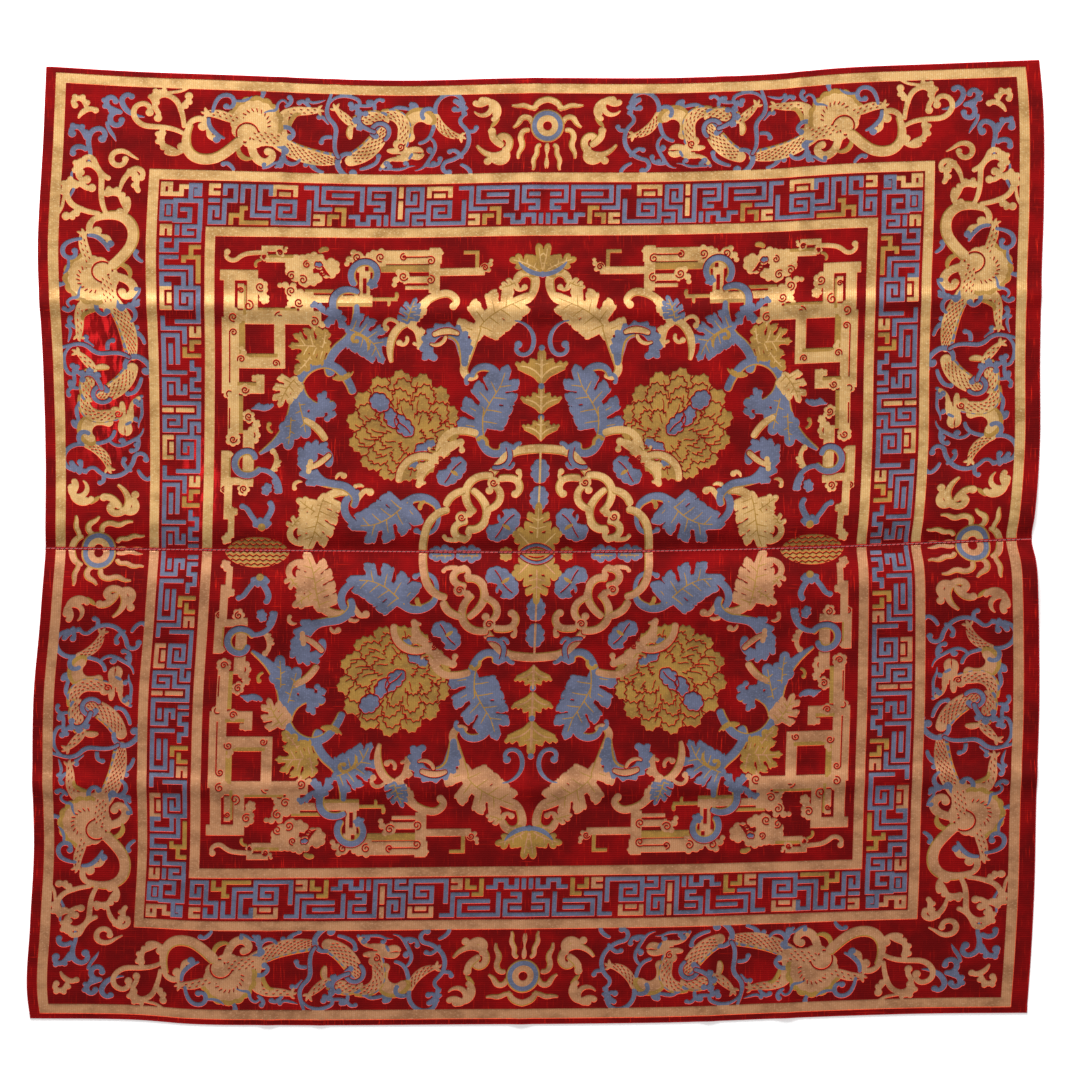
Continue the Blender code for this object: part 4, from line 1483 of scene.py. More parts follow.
@dataclass(frozen=True)
class Area:
    """One field of the chart, from the row that lies on the seam outwards."""

    values: Array
    cell: float
    bottom: float
    tolerance: float = 0.12
    longest: float = 8.0

    def sample(self, points: Array) -> Array:
        """Read the field between its cells.

        Args:
            points: Places in the drawing, one a row.

        Returns:
            The field's value at each of them.
        """
        rows, columns = self.values.shape
        column = np.clip(points[:, 0] / self.cell, 0, columns - 1.001)
        row = np.clip((points[:, 1] - self.bottom) / self.cell, 0, rows - 1.001)
        i, j = column.astype(int), row.astype(int)
        s, t = column - i, row - j
        low = self.values[j, i] * (1 - s) + self.values[j, i + 1] * s
        high = self.values[j + 1, i] * (1 - s) + self.values[j + 1, i + 1] * s
        return low * (1 - t) + high * t

    def crossing_points(self, edges: Array) -> Array:
        """Where the area's rim crosses each of these cell edges."""
        rows, columns = self.values.shape
        upright = edges >= rows * columns
        j, i = np.divmod(edges % (rows * columns), columns)
        here = self.values[j, i]
        after = self.values[np.where(upright, j + 1, j), np.where(upright, i, i + 1)]
        part = here / (here - after)
        x = (i + np.where(upright, 0, part)) * self.cell
        y = (j + np.where(upright, part, 0)) * self.cell + self.bottom
        return np.stack((x, y), axis=1)

    def outlines(self) -> list[Array]:
        """Trace the area's rims.

        Returns:
            Each rim's points, one a row, with the area on its left. A closed rim ends where it starts.
        """
        rows, columns = self.values.shape
        inside = self.values < 0
        kinds = inside[:-1, :-1] + 2 * inside[:-1, 1:] + 4 * inside[1:, 1:] + 8 * inside[1:, :-1]
        following: dict[int, int] = {}
        for kind, pairs in CROSSINGS.items():
            j, i = np.nonzero(kinds == kind)
            corner = j * columns + i
            ids = {
                BOTTOM: corner,
                TOP: corner + columns,
                LEFT: corner + rows * columns,
                RIGHT: corner + rows * columns + 1,
            }
            for start, end in pairs:
                following.update(zip(ids[start].tolist(), ids[end].tolist()))
        open_starts = sorted(set(following) - set(following.values()))
        rims = []
        for first in [*open_starts, *sorted(following)]:
            if first not in following:
                continue
            chain = [first]
            while chain[-1] in following:
                chain.append(following.pop(chain[-1]))
            rims.append(self.evened(self.crossing_points(np.array(chain))))
        return [rim for rim in rims if len(rim) > 3 or np.abs(rim[0] - rim[-1]).max() > 1e-6]

    def evened(self, points: Array) -> Array:
        """Thin a rim out, then split its long stretches."""
        if np.abs(points[0] - points[-1]).max() < 1e-6 and len(points) > 3:
            far = int(np.hypot(*(points - points[0]).T).argmax())
            halves = (points[: far + 1], points[far:])
            first, second = (thin_out(half, self.tolerance) for half in halves)
            points = np.vstack((first, second[1:]))
        else:
            points = thin_out(points, self.tolerance)
        evened = [points[:1]]
        for start, end in zip(points[:-1], points[1:]):
            count = max(1, math.ceil(np.hypot(*(end - start)) / self.longest))
            evened.append(start + (end - start) * np.arange(1, count + 1)[:, None] / count)
        return np.vstack(evened)


def inward(rim: Array, area: Area, most: float) -> Array:
    """How a rim moves into its area to slope the area's wall.

    Args:
        rim: The rim's points, one a row.
        area: The area that it bounds.
        most: The most that a point moves.

    Returns:
        The move of each point, less where the area is narrow.
    """
    closed = np.abs(rim[0] - rim[-1]).max() < 1e-6
    padded = np.vstack((rim[-2:-1], rim, rim[1:2])) if closed else np.pad(rim, ((1, 1), (0, 0)), "edge")
    ways = padded[2:] - padded[:-2]
    ways /= np.maximum(np.hypot(*ways.T), 1e-6)[:, None]
    side = np.stack((-ways[:, 1], ways[:, 0]), axis=1)
    depth = -np.min([area.sample(rim + side * reach) for reach in (0.15, 0.35, 0.6, 0.9)], axis=0)
    return side * np.clip(depth * 0.45, 0.02, most)[:, None]


@dataclass(frozen=True)
class Net:
    """A flat net of triangles over the drawn quarter."""

    points: Array
    triangles: Array
    sources: list[list[int]]


@dataclass(frozen=True)
class Weaver:
    """Makes nets over the drawn quarter of one loom length."""

    width: float
    height: float
    bottom: float
    pitch: float = 9.0
    fine: float = 4.5
    fine_columns: tuple[Point, ...] = ((0, 26), (215, 285), (310, 358))
    fine_rows: tuple[Point, ...] = ((-5, 62), (278, 346))

    def stops(self, low: float, high: float, fine: tuple[Point, ...]) -> Array:
        """Space the net's lines, closer where the cloth bends.

        Args:
            low: The first line.
            high: The last line.
            fine: The stretches where the lines are close.

        Returns:
            Where the lines are.
        """
        stops = [low]
        while stops[-1] < high - 1e-6:
            close = any(start <= stops[-1] < end for start, end in fine)
            step = self.fine if close else self.pitch
            stops.append(min(stops[-1] + step, high))
        if stops[-1] - stops[-2] < self.fine / 2:
            stops.pop(-2)
        return np.array(stops)

    def rim_points(self, ends: Array) -> Array:
        """The points round the drawn quarter, in order, with the ends of the outlines among them."""
        xs = self.stops(0.0, self.width, self.fine_columns)
        ys = self.stops(self.bottom, self.height, self.fine_rows)
        low, high = (0.0, self.bottom), (self.width, self.height)
        sides = []
        for axis, level in ((0, low[1]), (1, high[0]), (0, high[1]), (1, low[0])):
            stops = xs if axis == 0 else ys
            if len(ends):
                on_side = np.abs(ends[:, 1 - axis] - level) < 1e-6
                marks = ends[on_side, axis]
                stops = stops[np.min(np.abs(stops[:, None] - marks[None]), axis=1, initial=9.0) > 0.3]
                corners = (low[axis], high[axis])
                stops = np.unique(np.round(np.concatenate((stops, marks, corners)), 6))
            side = np.full((len(stops), 2), level)
            side[:, axis] = stops
            sides.append(side)
        lower, right, upper, left = sides
        return np.vstack((lower[:-1], right[:-1], upper[:0:-1], left[:0:-1]))

    def net(self, rims: Sequence[Array], area: Area | None, border: Array) -> Net:
        """Span a net of triangles between outlines.

        Args:
            rims: The outlines that it follows.
            area: The area that its inner points keep clear of the rim of, or None for all of the quarter.
            border: The points round the quarter, in order.

        Returns:
            The net.
        """
        xs = self.stops(0.0, self.width, self.fine_columns)[1:-1]
        ys = self.stops(self.bottom, self.height, self.fine_rows)[1:-1]
        inner = np.stack(np.meshgrid(xs, ys), axis=-1).reshape(-1, 2)
        if area is not None:
            inner = inner[area.sample(inner) < -1.2]
        points, edges, start = [*rims, border, inner], [], 0
        for rim in rims:
            edges += [(index, index + 1) for index in range(start, start + len(rim) - 1)]
            start += len(rim)
        count = len(border)
        edges += [(start + index, start + (index + 1) % count) for index in range(count)]
        corners = [Vector(point) for point in np.vstack(points)]
        made, _, faces, sources, _, _ = delaunay_2d_cdt(corners, edges, [], 0, 1e-5)
        return Net(np.array([tuple(point) for point in made]), np.array(faces), sources)


@dataclass
class Skin:
    """Gathers the points and faces of one piece, then makes its mesh."""

    points: list[Array] = field(default_factory=list)
    flat: list[Array] = field(default_factory=list)
    faces: list[list[int]] = field(default_factory=list)
    slots: list[int] = field(default_factory=list)
    count: int = 0

    def add(self, points: Array, flat: Array, faces: Array, slots: Array | int = 0) -> None:
        """Add a patch of faces.

        Args:
            points: Its points on the panel, one a row.
            flat: The same points on the flat cloth, for the flat map.
            faces: The point numbers of each face.
            slots: The material slot of each face, or of all of them.
        """
        self.points.append(points)
        self.flat.append(flat)
        self.faces += (np.asarray(faces) + self.count).tolist()
        self.slots += np.broadcast_to(slots, len(faces)).tolist()
        self.count += len(points)

    def build(self, name: str, materials: Sequence[bpy.types.Material], span: Point) -> bpy.types.Object:
        """Make the piece.

        Args:
            name: What the piece is called.
            materials: Its finishes, one a slot.
            span: Half the width and height of the flat cloth, which fill the flat map.

        Returns:
            The new object.
        """
        mesh = bpy.data.meshes.new(name)
        mesh.from_pydata(np.vstack(self.points) * MM, [], self.faces)
        mesh.polygons.foreach_set("material_index", self.slots)
        flat = 0.5 + np.vstack(self.flat) / (2 * np.array(span))
        corners = np.empty(len(mesh.loops), np.int32)
        mesh.loops.foreach_get("vertex_index", corners)
        mesh.uv_layers.new(name="OFBake").data.foreach_set("uv", flat[corners].ravel())
        for material in materials:
            mesh.materials.append(material)
        welded = bmesh.new()
        welded.from_mesh(mesh)
        bmesh.ops.remove_doubles(welded, verts=welded.verts, dist=2e-6)
        welded.to_mesh(mesh)
        welded.free()
        mesh.shade_smooth()
        piece = bpy.data.objects.new(name, mesh)
        bpy.context.scene.collection.objects.link(piece)
        return piece



Socket = bpy.types.NodeSocket
Tree = bpy.types.NodeTree


def linear(colour: str) -> tuple[float, float, float, float]:
    """Turn an sRGB colour into the linear one that the shaders take.

    Args:
        colour: Six hexadecimal digits.

    Returns:
        Red, green, blue and a full alpha.
    """
    shown = [int(colour[place : place + 2], 16) / 255 for place in (0, 2, 4)]
    light = [c / 12.92 if c <= 0.04045 else ((c + 0.055) / 1.055) ** 2.4 for c in shown]
    return light[0], light[1], light[2], 1.0


def add_node(
    tree: Tree, kind: str, inputs: Sequence | dict = (), output: int | str = 0, **settings: object
) -> Socket:
    """Add a node with its settings and links.

    Args:
        tree: The node tree that takes it.
        kind: The node's type, after "ShaderNode".
        inputs: A socket or a value for each of its inputs in order, or for those that are named.
        output: The output that is used.
        settings: The node's own settings.

    Returns:
        The output.
    """
    node = tree.nodes.new(f"ShaderNode{kind}")
    for name, value in settings.items():
        setattr(node, name, value)
    for name, value in inputs.items() if isinstance(inputs, dict) else enumerate(inputs):
        if isinstance(value, Socket):
            tree.links.new(value, node.inputs[name])
        else:
            node.inputs[name].default_value = value
    return node.outputs[output]


def uneven(tree: Tree, place: Socket, size_mm: Point, span: Point | None, detail: float = 3.0) -> Socket:
    """Uneven shade in patches.

    Args:
        tree: The node tree that takes it.
        place: The place on the cloth.
        size_mm: How wide and how high a patch is.
        span: The depths of shade that become 0 and 1, or None to leave it as it is.
        detail: How many finer layers it has.

    Returns:
        The shade.
    """
    scale = (1000 / size_mm[0], 1000 / size_mm[1], 1.0)
    mapped = add_node(tree, "Mapping", {"Vector": place, "Scale": scale})
    inputs = {"Vector": mapped, "Scale": 1.0, "Detail": detail, "Roughness": 0.6}
    shade = add_node(tree, "TexNoise", inputs)
    if span is None:
        return shade
    inputs = {"Value": shade, "From Min": span[0], "From Max": span[1]}
    return add_node(tree, "MapRange", inputs, interpolation_type="SMOOTHSTEP")


@dataclass(frozen=True)
class Finish:
    """What every finish of the cloth has: its name, with how it was made, and its common steps."""

    name: str

    def start(self) -> tuple[Tree, Socket]:
        """Start the material.

        Returns:
            Its node tree, and the place on the cloth that its patterns follow.
        """
        material = bpy.data.materials.new(self.name)
        material.use_nodes = True
        return material.node_tree, add_node(material.node_tree, "TexCoord", output="Object")

    def ribs(self, place: Socket, pitch_mm: float) -> dict[str, object]:
        """What a wave texture takes to give ridges at this pitch, a little bent as woven ones are."""
        scale = math.tau * 1000 / pitch_mm / 20
        return {"Vector": place, "Scale": scale, "Distortion": 0.25, "Detail": 1.0, "Detail Scale": 2.0}

    def end(
        self, tree: Tree, base: str, layers: Sequence[tuple[Socket, str]], bump: dict, uniform: dict
    ) -> bpy.types.Material:
        """Lay the colours one over another and lead them to the shader.

        Args:
            tree: The material's node tree.
            base: The colour under the others.
            layers: Each colour over it, with how much of it shows.
            bump: The height, the depth and the strength of the relief.
            uniform: The shader's values that are the same all over.

        Returns:
            The material.
        """
        shader, colour = tree.nodes["Principled BSDF"], linear(base)
        for share, over in layers:
            inputs = {0: share, 6: colour, 7: linear(over)}
            colour = add_node(tree, "Mix", inputs, 2, data_type="RGBA")
        tree.links.new(colour, shader.inputs["Base Color"])
        tree.links.new(add_node(tree, "Bump", bump), shader.inputs["Normal"])
        for name, value in uniform.items():
            shader.inputs[name].default_value = value
        return bpy.data.materials[self.name]


@dataclass(frozen=True)
class SilkPile(Finish):
    """Crimson silk cut pile: deep where it stands up, with painted sheen highlights in crushed streaks along
    creases and hems.

    Each patch has its middle and its half sizes. The glint lines are the creases, the hems and a line just
    below the seam, where the painted highlight streaks gather.
    """

    deep: str = "5C0304"
    even: str = "820406"
    # The colour of the painted sheen highlights in the crushed streaks
    sheen_highlight: str = "DE2412"
    worn: str = "D41E20"
    patches: tuple[tuple[Point, Point], ...] = (((-560, 215), (58, 135)), ((-435, 80), (30, 75)))
    # The lines where the painted highlight streaks gather: the creases, the hems and a line just below the
    # seam
    glint_lines_across: tuple[float, ...] = (-648, -331, -264, -6, 236, 335, 650)
    glint_lines_along: tuple[float, ...] = (614, 301, -50, -320, -618)
    glint_reach: Point = (26, 30)
    clouds_mm: Point = (70, 55)
    streaks_mm: Point = (2.4, 34)
    rows_mm: Point = (46, 2.0)
    worn_mm: Point = (9, 34)
    tufts_mm: Point = (1.8, 1.8)
    row_pitch: float = 2.6
    depth_mm: float = 0.5
    roughness: float = 0.85

    def near(self, tree: Tree, value: Socket, lines: Iterable[float], reach: float) -> Socket:
        """1 on the nearest of some lines across an axis and 0 past their reach."""
        nearest = None
        for line in lines:
            away = add_node(tree, "Math", (value, line * MM), operation="SUBTRACT")
            away = add_node(tree, "Math", (away,), operation="ABSOLUTE")
            if nearest is None:
                nearest = away
            else:
                nearest = add_node(tree, "Math", (nearest, away), operation="MINIMUM")
        inputs = {"Value": nearest, "From Min": reach * MM, "From Max": 0.0}
        return add_node(tree, "MapRange", inputs, interpolation_type="SMOOTHSTEP")

    def within(self, tree: Tree, place: Sequence[Socket], middle: Point, half: Point) -> Socket:
        """1 in the middle of an oval patch and 0 outside it."""
        squares = []
        for socket, at, reach in zip(place, middle, half):
            share = add_node(tree, "Math", (socket, at * MM), operation="SUBTRACT")
            share = add_node(tree, "Math", (share, reach * MM), operation="DIVIDE")
            squares.append(add_node(tree, "Math", (share, share), operation="MULTIPLY"))
        inputs = {"Value": add_node(tree, "Math", squares), "From Min": 1.0, "From Max": 0.2}
        return add_node(tree, "MapRange", inputs, interpolation_type="SMOOTHSTEP")

    def make(self) -> bpy.types.Material:
        """Make the finish.

        Returns:
            The material.
        """
        tree, place = self.start()
        x, y, _ = add_node(tree, "SeparateXYZ", (place,)).node.outputs
        # Broad clouds where the pile leans a little one way or the other
        layers = [(uneven(tree, place, self.clouds_mm, (0.35, 0.7)), self.even)]
        # Short streaks where single warps or rows are crushed over, painted lighter as highlights of the
        # pile's sheen, most of them along the creases, the hems and below the seam
        streaks = uneven(tree, place, self.streaks_mm, (0.56, 0.78))
        rows = uneven(tree, place, self.rows_mm, (0.6, 0.8))
        creases = zip((x, y), (self.glint_lines_across, self.glint_lines_along), self.glint_reach)
        glints_near_lines = [self.near(tree, *crease) for crease in creases]
        glint_share = add_node(tree, "Math", glints_near_lines, operation="MAXIMUM")
        glint_share = add_node(tree, "Math", (glint_share, 0.9), operation="MULTIPLY")
        glint_share = add_node(tree, "Math", (glint_share, 0.34), operation="MAXIMUM")
        pressed_sheen = add_node(tree, "Math", (streaks, rows), operation="MAXIMUM")
        # Painted sheen highlight: the streaks take the lighter red, most of all near the creases, hems and
        # seam
        layers.append((add_node(tree, "Math", (pressed_sheen, glint_share), operation="MULTIPLY"), self.sheen_highlight))
        # Two patches at the left, where handling has worn the pile short and bright
        worn = uneven(tree, place, self.worn_mm, (0.46, 0.6))
        for middle, half in self.patches:
            inside = self.within(tree, (x, y), middle, half)
            share = add_node(tree, "Math", (worn, 0.75), operation="MULTIPLY")
            layers.append((add_node(tree, "Math", (inside, share), operation="MULTIPLY"), self.worn))
        # Rows of tufts, coarsened from 0.5 mm so that they still show
        weave = add_node(tree, "TexWave", self.ribs(place, self.row_pitch), "Fac", bands_direction="Y")
        layers.append((add_node(tree, "Math", (weave, 0.16), operation="MULTIPLY"), self.deep))
        fuzz = uneven(tree, place, self.tufts_mm, None, 2.0)
        height = add_node(tree, "Math", (weave, 0.4), operation="MULTIPLY")
        height = add_node(tree, "Math", (height, fuzz))
        # Standing silk ends swallow light, so the eye sees a deep matt red with a warm bloom on its slopes
        uniform = {"Roughness": self.roughness, "Specular IOR Level": 0.08, "Sheen Weight": 0.1}
        uniform |= {"Sheen Roughness": 0.4, "Sheen Tint": linear("FF3A20")}
        bump = {"Height": height, "Distance": self.depth_mm * MM, "Strength": 0.5}
        return self.end(tree, self.deep, layers, bump, uniform)


@dataclass(frozen=True)
class FlatWeft(Finish):
    """A weft that floats on the face between the pile: gilt strip, or blue or olive silk."""

    colour: str
    # Darker colour for the random worn patches, and painted shade in the grooves between the ribs
    shade: str
    # Colour of the painted glints in small flecks
    light: str
    metal: float = 0.0
    roughness: float = 0.6
    rib_pitch: float = 2.6
    worn_mm: Point = (38, 26)
    glint_flecks_mm: Point = (3.4, 2.2)
    fine_mm: Point = (1.6, 0.9)
    depth_mm: float = 0.2

    def make(self) -> bpy.types.Material:
        """Make the finish.

        Returns:
            The material.
        """
        tree, place = self.start()
        worn = uneven(tree, place, self.worn_mm, (0.36, 0.72))
        # Painted glints: small flecks in the light colour
        glint_flecks = uneven(tree, place, self.glint_flecks_mm, (0.5, 0.8), 2.0)
        glint_flecks = add_node(tree, "Math", (glint_flecks, 0.8), operation="MULTIPLY")
        # Ribs over the binding warps, coarsened from 0.5 mm so that they still show
        warp = add_node(tree, "TexWave", self.ribs(place, self.rib_pitch), "Fac", bands_direction="X")
        # Painted shade: the grooves between the ribs take the shade colour
        groove_shade = add_node(tree, "Math", (1.0, warp), operation="SUBTRACT")
        groove_shade = add_node(tree, "Math", (groove_shade, 0.3), operation="MULTIPLY")
        fine = uneven(tree, place, self.fine_mm, None, 1.0)
        height = add_node(tree, "Math", (fine, 0.5), operation="MULTIPLY")
        height = add_node(tree, "Math", (warp, height))
        layers = ((worn, self.shade), (glint_flecks, self.light), (groove_shade, self.shade))
        bump = {"Height": height, "Distance": self.depth_mm * MM, "Strength": 0.35}
        # Gilt strip on a core glints along its ribs, while the silks beside it stay soft
        uniform = {"Roughness": self.roughness, "Metallic": self.metal}
        return self.end(tree, self.colour, layers, bump, uniform)


@dataclass(frozen=True)
class PlainSilk(Finish):
    """Silk with a fine uneven shade: the pile's cut edges, the cloth's back and the sewing thread."""

    colour: str
    shade: str
    roughness: float = 0.75
    grain_mm: Point = (1.4, 1.4)
    depth_mm: float = 0.2

    def make(self) -> bpy.types.Material:
        """Make the finish.

        Returns:
            The material.
        """
        tree, place = self.start()
        grain = uneven(tree, place, self.grain_mm, (0.35, 0.7), 2.0)
        bump = {"Height": grain, "Distance": self.depth_mm * MM, "Strength": 0.4}
        # Loose silk ends give no clear highlight
        uniform = {"Roughness": self.roughness, "Specular IOR Level": 0.15}
        return self.end(tree, self.colour, ((grain, self.shade),), bump, uniform)

@dataclass(frozen=True)
class Weave:
    """The heights of the velvet's layers over the surface that it lies on."""

    ground: float = 1.2
    pile_foot: float = 1.1
    pile_top: float = 2.0
    wall_slope: float = 0.65
    ground_inset: float = 1.1
    pile_inset: float = 1.2
    edge_roll: tuple[Point, ...] = (
        (1.5, 1.15),
        (1.2, 1.97),
        (0.7, 1.9),
        (0.25, 1.6),
        (0.0, 1.1),
        (0.1, 0.5),
        (0.5, 0.05),
        (1.1, 0.0),
    )


@dataclass
class LoomLength:
    """One loom length of the velvet: its woven ground, its pile, the pile's edges and its turned-in hem."""

    name: str
    way: int
    seam_row: float
    swell: Swell
    gilt: str
    gilt_wear_and_shade: str
    gilt_glint: str
    chart: Chart
    lay: PanelLay = PanelLay()
    weave: Weave = Weave()

    def __post_init__(self) -> None:
        """Cut the chart at the seam row and set up the nets."""
        cell = self.chart.cell
        first = round((self.seam_row + self.chart.below) / cell)
        self.fields = self.chart.fields[:, first:, :]
        self.weaver = Weaver(self.chart.width, self.chart.height, self.seam_row)
        self.span = (self.chart.width, self.chart.height)

    def area(self, values: Array, tolerance: float) -> Area:
        """A field of this length, ready to trace."""
        return Area(values, self.chart.cell, self.seam_row, tolerance)

    def border_move(self, points: Array, inset: float) -> Array:
        """How points on the rim of the drawn quarter move in from the cloth's edge and from the seam."""
        move = np.zeros_like(points)
        move[points[:, 0] > self.chart.width - 1e-3, 0] = -inset
        move[points[:, 1] > self.chart.height - 1e-3, 1] = -inset
        move[points[:, 1] < self.seam_row + 1e-3, 1] = inset
        return move

    def laid(self, points: Array, hand: int, height: Array | float) -> tuple[Array, Array]:
        """Lay drawn points on the panel.

        Args:
            points: Places in the drawn quarter, one a row.
            hand: 1 for the right half and -1 for the left one.
            height: How high each lies over the cloth's underside.

        Returns:
            The points on the panel, and on the flat cloth.
        """
        u, v = points[:, 0] * hand, points[:, 1] * self.way
        x, y = self.lay.place(u, v, self.way, self.way * self.seam_row)
        z = self.lay.height(x, y, self.way, self.swell) + height
        return np.stack((x, y, z), axis=1), np.stack((u, v), axis=1)

    def spread(
        self, skin: Skin, points: Array, faces: Array, height: Array | float, slots: Array | int = 0
    ) -> None:
        """Add drawn faces to a piece on both halves of the length.

        Args:
            skin: The piece.
            points: Places in the drawn quarter, one a row.
            faces: The point numbers of each face, anticlockwise as drawn.
            height: How high each point lies over the cloth's underside.
            slots: The material slot of each face, or of all of them.
        """
        for hand in (1, -1):
            turned = faces if hand * self.way > 0 else faces[:, ::-1]
            skin.add(*self.laid(points, hand, height), turned, slots)

    def make_ground(self) -> bpy.types.Object:
        """Make the woven ground, closed round its edges.

        Returns:
            The ground.
        """
        gilt, blue, olive = self.fields[1:]
        areas = (
            self.area(blue + 0.05 - np.minimum(gilt, olive), 0.2),
            self.area(olive + 0.05 - np.minimum(gilt, blue), 0.2),
        )
        rims = [rim for area in areas for rim in area.outlines()]
        ends = np.vstack([rim[[0, -1]] for rim in rims])
        border = self.weaver.rim_points(ends)
        face = self.weaver.net(rims, None, border)
        middles = face.points[face.triangles].mean(axis=1)
        slots = np.select([area.sample(middles) < 0 for area in areas], (1, 2), 0)
        points = face.points + self.border_move(face.points, self.weave.ground_inset)
        skin = Skin()
        self.spread(skin, points, face.triangles, self.weave.ground, slots)
        back = self.weaver.net([], None, border)
        under = back.points + self.border_move(back.points, self.weave.ground_inset)
        self.spread(skin, under, back.triangles[:, ::-1], 0.0, 3)
        rim = border + self.border_move(border, self.weave.ground_inset)
        after = np.roll(np.arange(len(rim)), -1)
        place = np.arange(len(rim))
        sides = np.stack((place, after, after + len(rim), place + len(rim)), 1)
        outer = (np.abs(border[:, 0]) > 1e-6) | (np.abs(border[after, 0]) > 1e-6)
        heights = np.repeat((0.0, self.weave.ground), len(rim))
        self.spread(skin, np.vstack((rim, rim)), sides[outer], heights, 3)
        # Each weft's second colour darkens random worn patches and is painted shade in its rib grooves; its
        # third is painted glints
        gilt = (self.gilt, self.gilt_wear_and_shade, self.gilt_glint)
        finishes = (
            FlatWeft(f"{self.name} gilt strip weft, flat woven", *gilt, 0.55, 0.42),
            FlatWeft(f"{self.name} blue silk weft, flat woven", "585D76", "42465A", "727894"),
            FlatWeft(f"{self.name} olive silk weft, flat woven", "A0762C", "7C581E", "BC9244", 0.15, 0.5),
            PlainSilk(f"{self.name} woven back", "6E2A1C", "94502E", 0.85, (2.6, 0.8)),
        )
        ground = skin.build(f"{self.name}_ground", [finish.make() for finish in finishes], self.span)
        # Large faces lead the shading, so that thin ones along a straight rim don't glint
        ground.modifiers.new("even shading", "WEIGHTED_NORMAL").mode = "FACE_AREA"
        return ground

    def make_pile(self) -> tuple[bpy.types.Object, bpy.types.Object]:
        """Make the pile and the walls down its cut edges.

        Returns:
            The pile and its cut edges.
        """
        area = self.area(self.fields[Yarn.PILE], 0.12)
        rims = area.outlines()
        moves = [inward(rim, area, self.weave.wall_slope) for rim in rims]
        ends = np.vstack([rim[[0, -1]] for rim in rims if np.abs(rim[0] - rim[-1]).max() > 1e-6])
        border = self.weaver.rim_points(ends)
        net = self.weaver.net(rims, area, border)
        rim_moves = np.vstack(moves)
        move = np.zeros_like(net.points)
        for index, sources in enumerate(net.sources):
            if sources and min(sources) < len(rim_moves):
                move[index] = rim_moves[min(sources)]
        move[net.points[:, 0] < 1e-6, 0] = 0.0
        kept = net.triangles[area.sample(net.points[net.triangles].mean(axis=1)) < 0]
        used = np.unique(kept)
        renumber = np.full(len(net.points), -1)
        renumber[used] = np.arange(len(used))
        points = (net.points + move + self.border_move(net.points, self.weave.pile_inset))[used]
        pile, walls = Skin(), Skin()
        self.spread(pile, points, renumber[kept], self.weave.pile_top)
        for rim, move in zip(rims, moves):
            move[rim[:, 0] < 1e-6, 0] = 0.0
            foot = rim + self.border_move(rim, self.weave.pile_inset)
            count = len(rim)
            steps = np.arange(count - 1)
            faces = np.stack((steps, steps + 1, steps + 1 + count, steps + count), axis=1)
            heights = np.repeat((self.weave.pile_foot, self.weave.pile_top), count)
            self.spread(walls, np.vstack((foot, foot + move)), faces, heights)
        face = SilkPile(f"{self.name} crimson silk cut pile")
        top = pile.build(f"{self.name}_pile", [face.make()], self.span)
        # Painted highlight: the cut edges of the pile are a brighter orange-red than the pile, standing in
        # for the light they catch
        edge = PlainSilk(f"{self.name} cut pile edges with painted highlight", "E04826", "B42A16", 0.8)
        return top, walls.build(f"{self.name}_pile_edges", [edge.make()], self.span)

    def make_hem(self) -> bpy.types.Object:
        """Make the rolled edge of the turned-in hem, round all four sides.

        Returns:
            The hem.
        """
        border = self.weaver.rim_points(np.empty((0, 2)))
        outside = border[np.abs(border[:, 0]) > 1e-6]
        start = int(np.argmin(outside[:, 0] + np.abs(outside[:, 1] - self.seam_row)))
        outside = np.roll(outside, -start, axis=0)
        line = np.vstack(((0.0, self.seam_row), outside, (0.0, self.chart.height)))
        count, steps = len(line), len(self.weave.edge_roll)
        rows = [line + self.border_move(line, inset) for inset, _ in self.weave.edge_roll]
        heights = np.repeat([height for _, height in self.weave.edge_roll], count)
        place = np.arange(count - 1)
        square = np.stack((place, place + count, place + count + 1, place + 1), 1)
        faces = [square + row * count for row in range(steps - 1)]
        skin = Skin()
        self.spread(skin, np.vstack(rows), np.vstack(faces), heights)
        finish = PlainSilk(f"{self.name} rolled velvet hem", "8E0A12", "B81A20", 0.8)
        return skin.build(f"{self.name}_hem", [finish.make()], self.span)

    def make(self) -> bpy.types.Object:
        """Returns:
            The ground, which is the sheet that the others lie on.
        """
        ground = self.make_ground()
        parts = [*self.make_pile(), self.make_hem()]
        node = f"{self.name}_length"
        for piece in (ground, *parts):
            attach(piece, "root")
            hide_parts(node)
            log.info("%s: %d faces", piece.name, len(piece.data.polygons))
        return ground


@dataclass(frozen=True)
class SeamThread:
    """The small slanted stitches that join the two lengths edge to edge."""

    lay: PanelLay = PanelLay()
    pitch: float = 6.0
    reach: float = 1.8
    slant: float = 1.6
    radius: float = 0.3
    top: float = 2.05
    sunk: float = 1.1
    end: float = 12.0

    def make(self) -> bpy.types.Object:
        """Make the stitches.

        Returns:
            The thread.
        """
        curve = bpy.data.curves.new("seam_thread", "CURVE")
        curve.dimensions = "3D"
        curve.bevel_depth = self.radius * MM
        curve.bevel_resolution = 1
        last = self.lay.half_width - self.end
        for x in np.arange(-last, last, self.pitch):
            middle = float(self.lay.seam.at(x))
            stitch = curve.splines.new("POLY")
            stitch.points.add(4)
            for point, share in zip(stitch.points, (-1.0, -0.7, 0.0, 0.7, 1.0)):
                sunk = self.top - self.sunk * abs(share) ** 6
                rise = self.lay.height(np.array((x,)), np.array((middle,)), 1, Swell(0, 30, 60))[0]
                place = (x + share * self.slant, middle + share * self.reach, sunk + rise)
                point.co = (*(value * MM for value in place), 1.0)
        curve.materials.append(PlainSilk("crimson sewing thread", "4A0407", "2C0203", 0.95).make())
        thread = bpy.data.objects.new("seam_thread", curve)
        bpy.context.scene.collection.objects.link(thread)
        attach(thread, "root")
        log.info("seam_thread: %d stitches", len(curve.splines))
        return thread


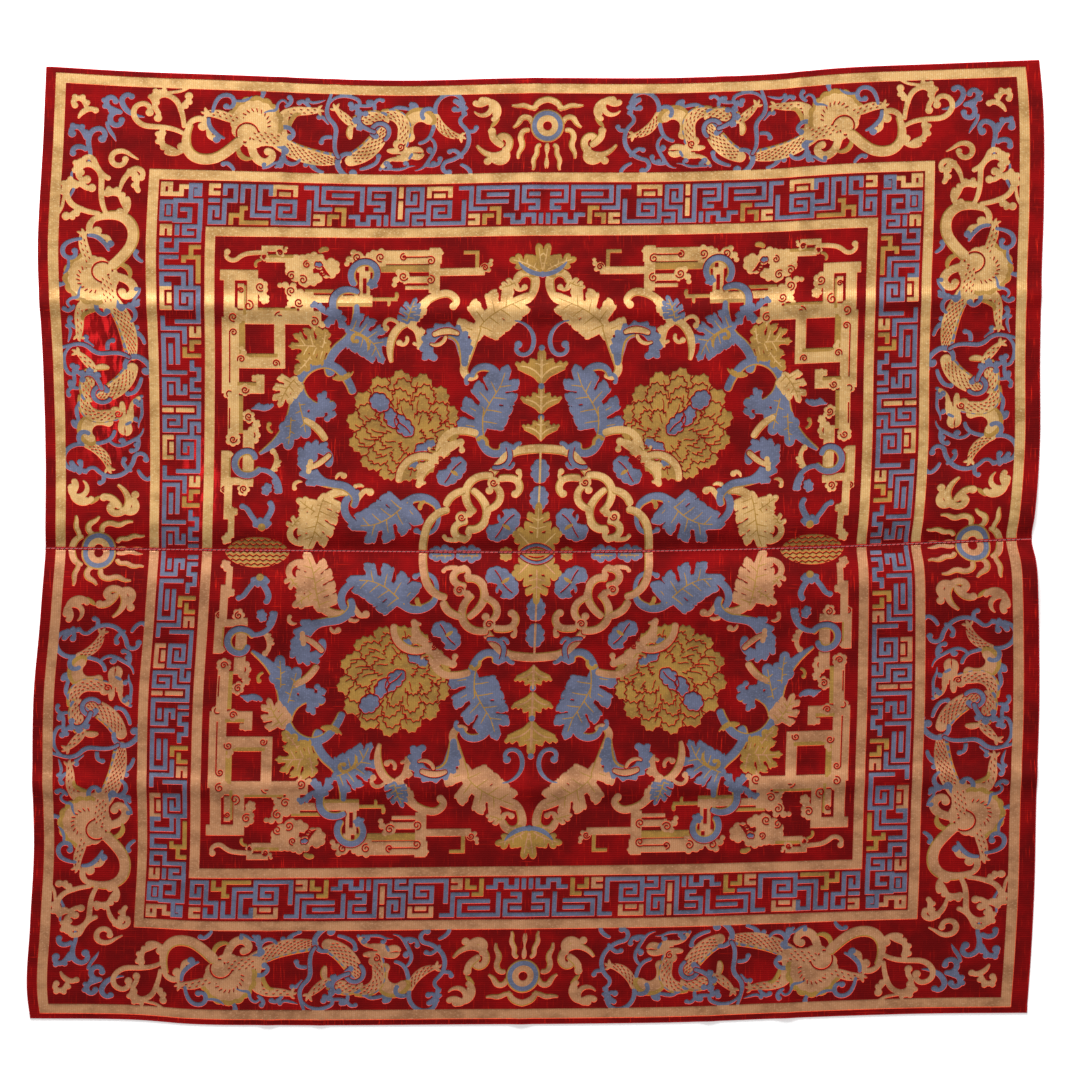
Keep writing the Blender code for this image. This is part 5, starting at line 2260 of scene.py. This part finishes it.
@dataclass(frozen=True)
class Studio:
    """The pale floor, the soft light from the panel's top side and the camera straight above."""

    centre: Point = (5.85, 2.6)
    frame_width: float = 1404.0
    lens: float = 100.0
    floor_size: float = 8.0
    floor_drop: float = 0.0003
    floor_glow: float = 0.35
    lamp_size: float = 2.4
    lamp_energy: float = 300.0
    lamp_place: tuple[float, float, float] = (-0.6, 3.2, 1.6)
    fill: float = 0.4

    def make(self) -> None:
        """Make the whole stage."""
        self.make_floor()
        self.make_lights()
        self.make_camera()

    def make_floor(self) -> None:
        """Make the matt pale floor."""
        half = self.floor_size / 2
        square = ((-half, -half), (half, -half), (half, half), (-half, half))
        corners = [(x, y, -self.floor_drop) for x, y in square]
        mesh = bpy.data.meshes.new("floor")
        mesh.from_pydata(corners, [], [(0, 1, 2, 3)])
        material = bpy.data.materials.new("pale matt paper floor")
        material.use_nodes = True
        # Matt paper that glows a little gives the eye the even, nearly white ground of a studio photo
        shader = material.node_tree.nodes["Principled BSDF"]
        shader.inputs["Base Color"].default_value = linear("FAFAFA")
        shader.inputs["Emission Color"].default_value = linear("FFFFFF")
        shader.inputs["Emission Strength"].default_value = self.floor_glow
        shader.inputs["Roughness"].default_value = 0.9
        mesh.materials.append(material)
        floor = bpy.data.objects.new("floor", mesh)
        bpy.context.scene.collection.objects.link(floor)

    def make_lights(self) -> None:
        """Make one wide soft lamp towards the panel's top side and an even fill."""
        lamp = bpy.data.lights.new("soft lamp", "AREA")
        lamp.size = self.lamp_size
        lamp.energy = self.lamp_energy
        holder = bpy.data.objects.new("soft lamp", lamp)
        holder.location = self.lamp_place
        holder.rotation_euler = (Vector((0, 0, 0)) - holder.location).to_track_quat("-Z", "Y").to_euler()
        bpy.context.scene.collection.objects.link(holder)
        world = bpy.data.worlds.new("studio fill")
        world.use_nodes = True
        world.node_tree.nodes["Background"].inputs["Color"].default_value = linear("FFFFFF")
        world.node_tree.nodes["Background"].inputs["Strength"].default_value = self.fill
        bpy.context.scene.world = world

    def make_camera(self) -> None:
        """Make the camera, straight above the panel's middle."""
        camera = bpy.data.cameras.new("camera")
        camera.lens = self.lens
        holder = bpy.data.objects.new("camera", camera)
        distance = self.frame_width * MM / 2 / (camera.sensor_width / 2 / self.lens)
        holder.location = (self.centre[0] * MM, self.centre[1] * MM, distance)
        bpy.context.scene.collection.objects.link(holder)
        bpy.context.scene.camera = holder
        bpy.context.scene.view_settings.view_transform = "Standard"


def main() -> None:
    """Draw the figure, make both lengths and their seam, and set the stage."""
    logging.basicConfig(level=logging.INFO, format="%(message)s")
    chart = Chart()
    log.info("figure: %d motifs", Figure().draw(chart))
    # Each length's gilt: its colour, its darker colour for wear and painted groove shade, and its painted
    # glint colour
    lengths = (
        LoomLength("upper", 1, 0.0, Swell(5.5, 34, 120), "E2B474", "AC8048", "FADCA6", chart),
        LoomLength("lower", -1, -5.0, Swell(6.5, 56, 150), "D09468", "A06C48", "ECB48C", chart),
    )
    for length in lengths:
        length.make()
    SeamThread().make()
    Studio().make()


if __name__ == "__main__":
    main()
